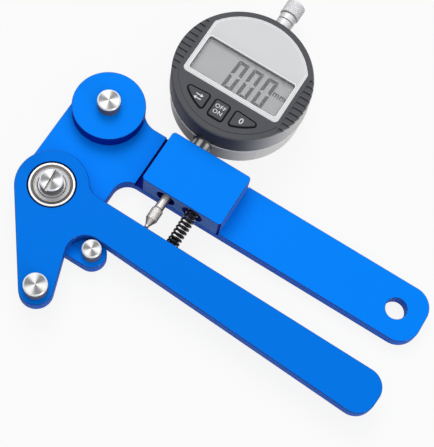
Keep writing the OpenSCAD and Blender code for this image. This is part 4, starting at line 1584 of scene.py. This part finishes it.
@dataclass
class GaugePlunger:
    """The stem, the neck and the sliding plunger with its contact point and lifting cap."""

    bore_r: float = 2.05
    tip_r: float = 1.0
    cone_share: float = 0.42
    shoulder_r: float = 2.0
    collar_l: float = 3.0
    collar_r: float = 3.8
    neck_r: float = 3.3
    flutes: int = 26
    flute_depth: float = 0.2
    flute_points: int = 12
    rows_per_mm: int = 6
    lead: float = 0.8

    def tube(self, node: str, name: str, bore: float, cut: float) -> Piece:
        """A plain tube along Y in the place of a node.

        Args:
            node: The CAD node.
            name: The name of the new piece.
            bore: The bore's radius.
            cut: How far the edges are softened.

        Returns:
            The piece.
        """
        box = Extent.of(node)
        section = tube_section(bore, box.size[0] / 2, 0, box.size[1], cut)
        return Shell().lathe(section, box.foot, Axis.Y, closed=True).build(name)

    def build(self) -> None:
        """Makes the fixed tubes, then what slides in them."""
        fit(self.tube("gauge_stem", "gauge_stem_turned", self.bore_r, 0.3), "frame", STEM_STEEL, "gauge_stem")
        fit(self.tube("neck_bush", "neck_bush_turned", self.bore_r, 0.35), "frame", CAP_STEEL, "neck_bush")
        rod = Extent.of("plunger_rod")
        radius, length = rod.size[0] / 2, rod.size[1]
        section = softened([(0, 0), (radius, 0), (radius, length), (0, length)], 0.3)
        shell = Shell().lathe(section, rod.foot, Axis.Y)
        fit(shell.build("plunger_rod_ground"), "plunger", STEEL_ROD, "plunger_rod")
        self.build_point()
        self.build_cap()

    def knurled(
        self, before: Profile, after: Profile, radius: float, rise: tuple[float, float], flutes: int, depth: float
    ) -> np.ndarray:
        """Rings of a turned shape along Y with a diamond-knurled length in its middle.

        On the knurl the radius is r - depth * groove, where groove falls from 1 to 0 away from the lines
        (a + twist) * flutes = 2 pi n and (a - twist) * flutes = 2 pi n, with twist growing along Y.

        Args:
            before: Plain (radius, height) points below the knurl.
            after: Plain points above it.
            radius: Radius over the knurl.
            rise: Heights where the knurl starts and ends.
            flutes: Number of grooves each way round.
            depth: Depth of a groove.

        Returns:
            Rows of points.
        """
        count = flutes * self.flute_points
        angle = np.arange(count) * 2 * np.pi / count
        height = np.linspace(*rise, max(12, int((rise[1] - rise[0]) * self.rows_per_mm)))
        a, h = np.meshgrid(angle, height)
        twist = (h - rise[0]) * self.lead / radius
        waves = [np.abs((turn * flutes / (2 * np.pi)) % 1 - 0.5) for turn in (a + twist, a - twist)]
        reach = radius - depth * 2 * np.maximum(0.5 - 2 * waves[0], 0.5 - 2 * waves[1]).clip(0)
        rows = []
        for part in (before, after):
            table = np.array(part)
            rows.append([np.broadcast_to(table[:, i, None], (len(table), len(angle))) for i in (0, 1)])
        radii = np.concatenate([rows[0][0], reach, rows[1][0]])
        heights = np.concatenate([rows[0][1], h, rows[1][1]])
        return np.stack([radii * np.cos(angle), heights, -radii * np.sin(angle)], -1)

    def build_point(self) -> None:
        """Ball tip, cone, knurled barrel and shoulder, turned about Y."""
        box = Extent.of("contact_point")
        radius, rod_low = box.size[0] / 2, Extent.of("plunger_rod").low[1]
        length = rod_low - box.low[1]
        cone = self.cone_share * length
        arc = np.radians(np.linspace(-90, 20, 9))
        before = [(self.tip_r * math.cos(a), self.tip_r * (1 + math.sin(a))) for a in arc]
        before += [(radius - 0.25, cone - 0.2), (radius - 0.1, cone)]
        after = [(radius - 0.1, length - 0.7), (self.shoulder_r, length), (0, length)]
        grid = self.knurled(before, after, radius, (cone + 0.2, length - 0.9), 24, 0.1)
        piece = Shell().grid(grid + box.foot).build("contact_point_turned", 25)
        fit(piece, "plunger", STEEL_ROD, "contact_point")

    def build_cap(self) -> None:
        """Collar and knurled cap with a rounded top."""
        box = Extent.of("lifting_cap")
        top, radius = box.size[1], box.size[0] / 2
        low = self.collar_l
        collar = [(0, 0), (self.collar_r, 0), (self.collar_r, low - 0.2), (self.neck_r, low)]
        before = softened([*collar, (radius - 0.3, low + 0.2), (radius, low + 0.4)], 0.15)
        after = softened([(radius, top - 1.2), (radius, top - 0.7), (radius - 0.9, top), (0, top)], 0.3)
        grid = self.knurled(before, after, radius, (low + 0.6, top - 1.4), self.flutes, self.flute_depth)
        piece = Shell().grid(grid + box.foot).build("lifting_cap_knurled", 40)
        fit(piece, "plunger", CAP_STEEL, "lifting_cap")


# ---- Nodes that are shown as they are ---------------------------------------------------------------


CARRIED = {
    "bearing_balls": BEARING,
    "bearing_cage": BRASS,
    "pivot_spacer": BEARING,
    "back_post_screws": BLACK_STEEL,
    "leg_post_screw": BLACK_STEEL,
    "block_screws": BLACK_STEEL,
    "stem_set_screw": BLACK_STEEL,
    "spring_pin": SPRING_STEEL,
    "button_pads": RUBBER,
    "circuit_board": BOARD,
    "battery_cell": CELL,
    "battery_cover": BEZEL,
    "back_cover": BEZEL,
    "cover_screws": CELL,
}


def dress_carried() -> None:
    """Gives every node that is shown as it is its own finish."""
    for node, finish in CARRIED.items():
        piece = frame["nodes"][node]
        piece.data.materials.clear()
        piece.data.materials.append(finish.material())
        LOG.info("%s keeps its shape, in %s", node, finish.name)


# ---- Studio -----------------------------------------------------------------------------------------


@dataclass
class Studio:
    """The camera at the photograph's angle, the pale floor and the soft light."""

    picture_w: int = 434
    picture_h: int = 447
    focal_px: float = 1245.0
    distance: float = 506.0
    target: tuple[float, float, float] = (65.134, 22.456, 0.0)
    tilt: float = 20.32
    azimuth: float = -72.99
    roll: float = 15.23
    sensor: float = 36.0
    near_m: float = 0.01
    far_m: float = 20.0
    floor_half: float = 4000.0
    floor_drop: float = 0.02
    floor_grey: float = 0.7
    floor_glow: float = 0.87
    sky: float = 1.4
    horizon: float = 0.3
    overhead: tuple[float, float] = (0.45, 0.95)
    lamps: tuple[tuple[str, tuple[float, float, float], float, float], ...] = (
        ("key_lamp", (-660.0, 1010.0, 1440.0), 1300.0, 14.0),
        ("side_lamp", (1500.0, -430.0, 420.0), 420.0, 6.0),
    )

    def camera(self) -> None:
        """Looks at the target from the tilt and azimuth, turned by the roll."""
        tilt, azimuth, roll = (math.radians(angle) for angle in (self.tilt, self.azimuth, self.roll))
        back = np.array([math.sin(tilt) * math.cos(azimuth), math.sin(tilt) * math.sin(azimuth), math.cos(tilt)])
        up = -np.array([math.cos(azimuth), math.sin(azimuth), 0.0])
        up -= back * (up @ back)
        up /= np.linalg.norm(up)
        right = np.cross(up, back)
        across = right * math.cos(roll) + up * math.sin(roll)
        upward = up * math.cos(roll) - right * math.sin(roll)
        data = bpy.data.cameras.new("camera")
        data.sensor_fit = "AUTO"
        data.sensor_width = self.sensor
        data.lens = self.sensor * self.focal_px / max(self.picture_w, self.picture_h)
        data.clip_start, data.clip_end = self.near_m, self.far_m
        camera = bpy.data.objects.new("camera", data)
        bpy.context.scene.collection.objects.link(camera)
        turn = Matrix(np.stack([across, upward, back], 1).tolist()).to_4x4()
        place = (np.array(self.target) + back * self.distance) * MM
        camera.matrix_world = Matrix.Translation(Vector(place)) @ turn
        bpy.context.scene.camera = camera

    def light(self) -> None:
        """A world that is pale overhead and dim at the horizon, and soft lamps."""
        world = bpy.data.worlds.new("studio")
        bpy.context.scene.world = world
        graph = Graph(world)
        height = graph.axes(graph.signal("ShaderNodeTexCoord", output="Generated"))[2]
        strength = height.between(*self.overhead) * (self.sky - self.horizon) + self.horizon
        background = graph.signal("ShaderNodeBackground", values={"Strength": strength})
        graph.node("ShaderNodeOutputWorld", values={"Surface": background})
        for name, place_mm, size, power in self.lamps:
            data = bpy.data.lights.new(name, "AREA")
            data.shape, data.size, data.energy = "DISK", size * MM, power
            lamp = bpy.data.objects.new(name, data)
            lamp.location = Vector(place_mm) * MM
            aim = Vector(self.target) * MM - lamp.location
            lamp.rotation_euler = aim.to_track_quat("-Z", "Y").to_euler()
            bpy.context.scene.collection.objects.link(lamp)

    def floor(self) -> None:
        """A pale floor under the back plate that keeps a soft shadow."""
        half, z = self.floor_half * MM, cad_box[0][2] - self.floor_drop * MM
        mesh = bpy.data.meshes.new("floor")
        mesh.from_pydata([(-half, -half, z), (half, -half, z), (half, half, z), (-half, half, z)], [], [(0, 1, 2, 3)])
        floor = bpy.data.objects.new("floor", mesh)
        graph = Graph(bpy.data.materials.new("pale_floor"))
        diffuse = graph.signal("ShaderNodeBsdfDiffuse", values={"Color": (*[self.floor_grey] * 3, 1.0)})
        glow = graph.signal("ShaderNodeEmission", values={"Color": (1.0, 1.0, 1.0, 1.0), "Strength": 1.0})
        paths = graph.node("ShaderNodeLightPath")
        camera, glossy, through = (
            Signal(graph, paths.outputs[f"Is {kind} Ray"]) for kind in ("Camera", "Glossy", "Transmission")
        )
        seen = camera.math("MAXIMUM", camera.math("MAXIMUM", camera, glossy), through)
        mixed = graph.signal("ShaderNodeMixShader", values={0: seen * self.floor_glow, 1: diffuse, 2: glow})
        graph.node("ShaderNodeOutputMaterial", values={"Surface": mixed})
        mesh.materials.append(graph.owner)
        bpy.context.scene.collection.objects.link(floor)

    def build(self) -> None:
        """Sets the camera, the light, the floor and the plain view transform."""
        self.camera()
        self.light()
        self.floor()
        bpy.context.scene.view_settings.view_transform = "Standard"


def main() -> None:
    """Builds the studio and every sub-assembly."""
    logging.basicConfig(level=logging.INFO, format="%(name)s: %(message)s")
    for part in (Studio(), ArmPlates(), SpokePosts(), PivotBearing(), GaugeBlock(), GaugeHousing(), GaugePlunger()):
        part.build()
        LOG.info("%s is built", type(part).__name__)
    dress_carried()


if __name__ == "__main__":
    main()
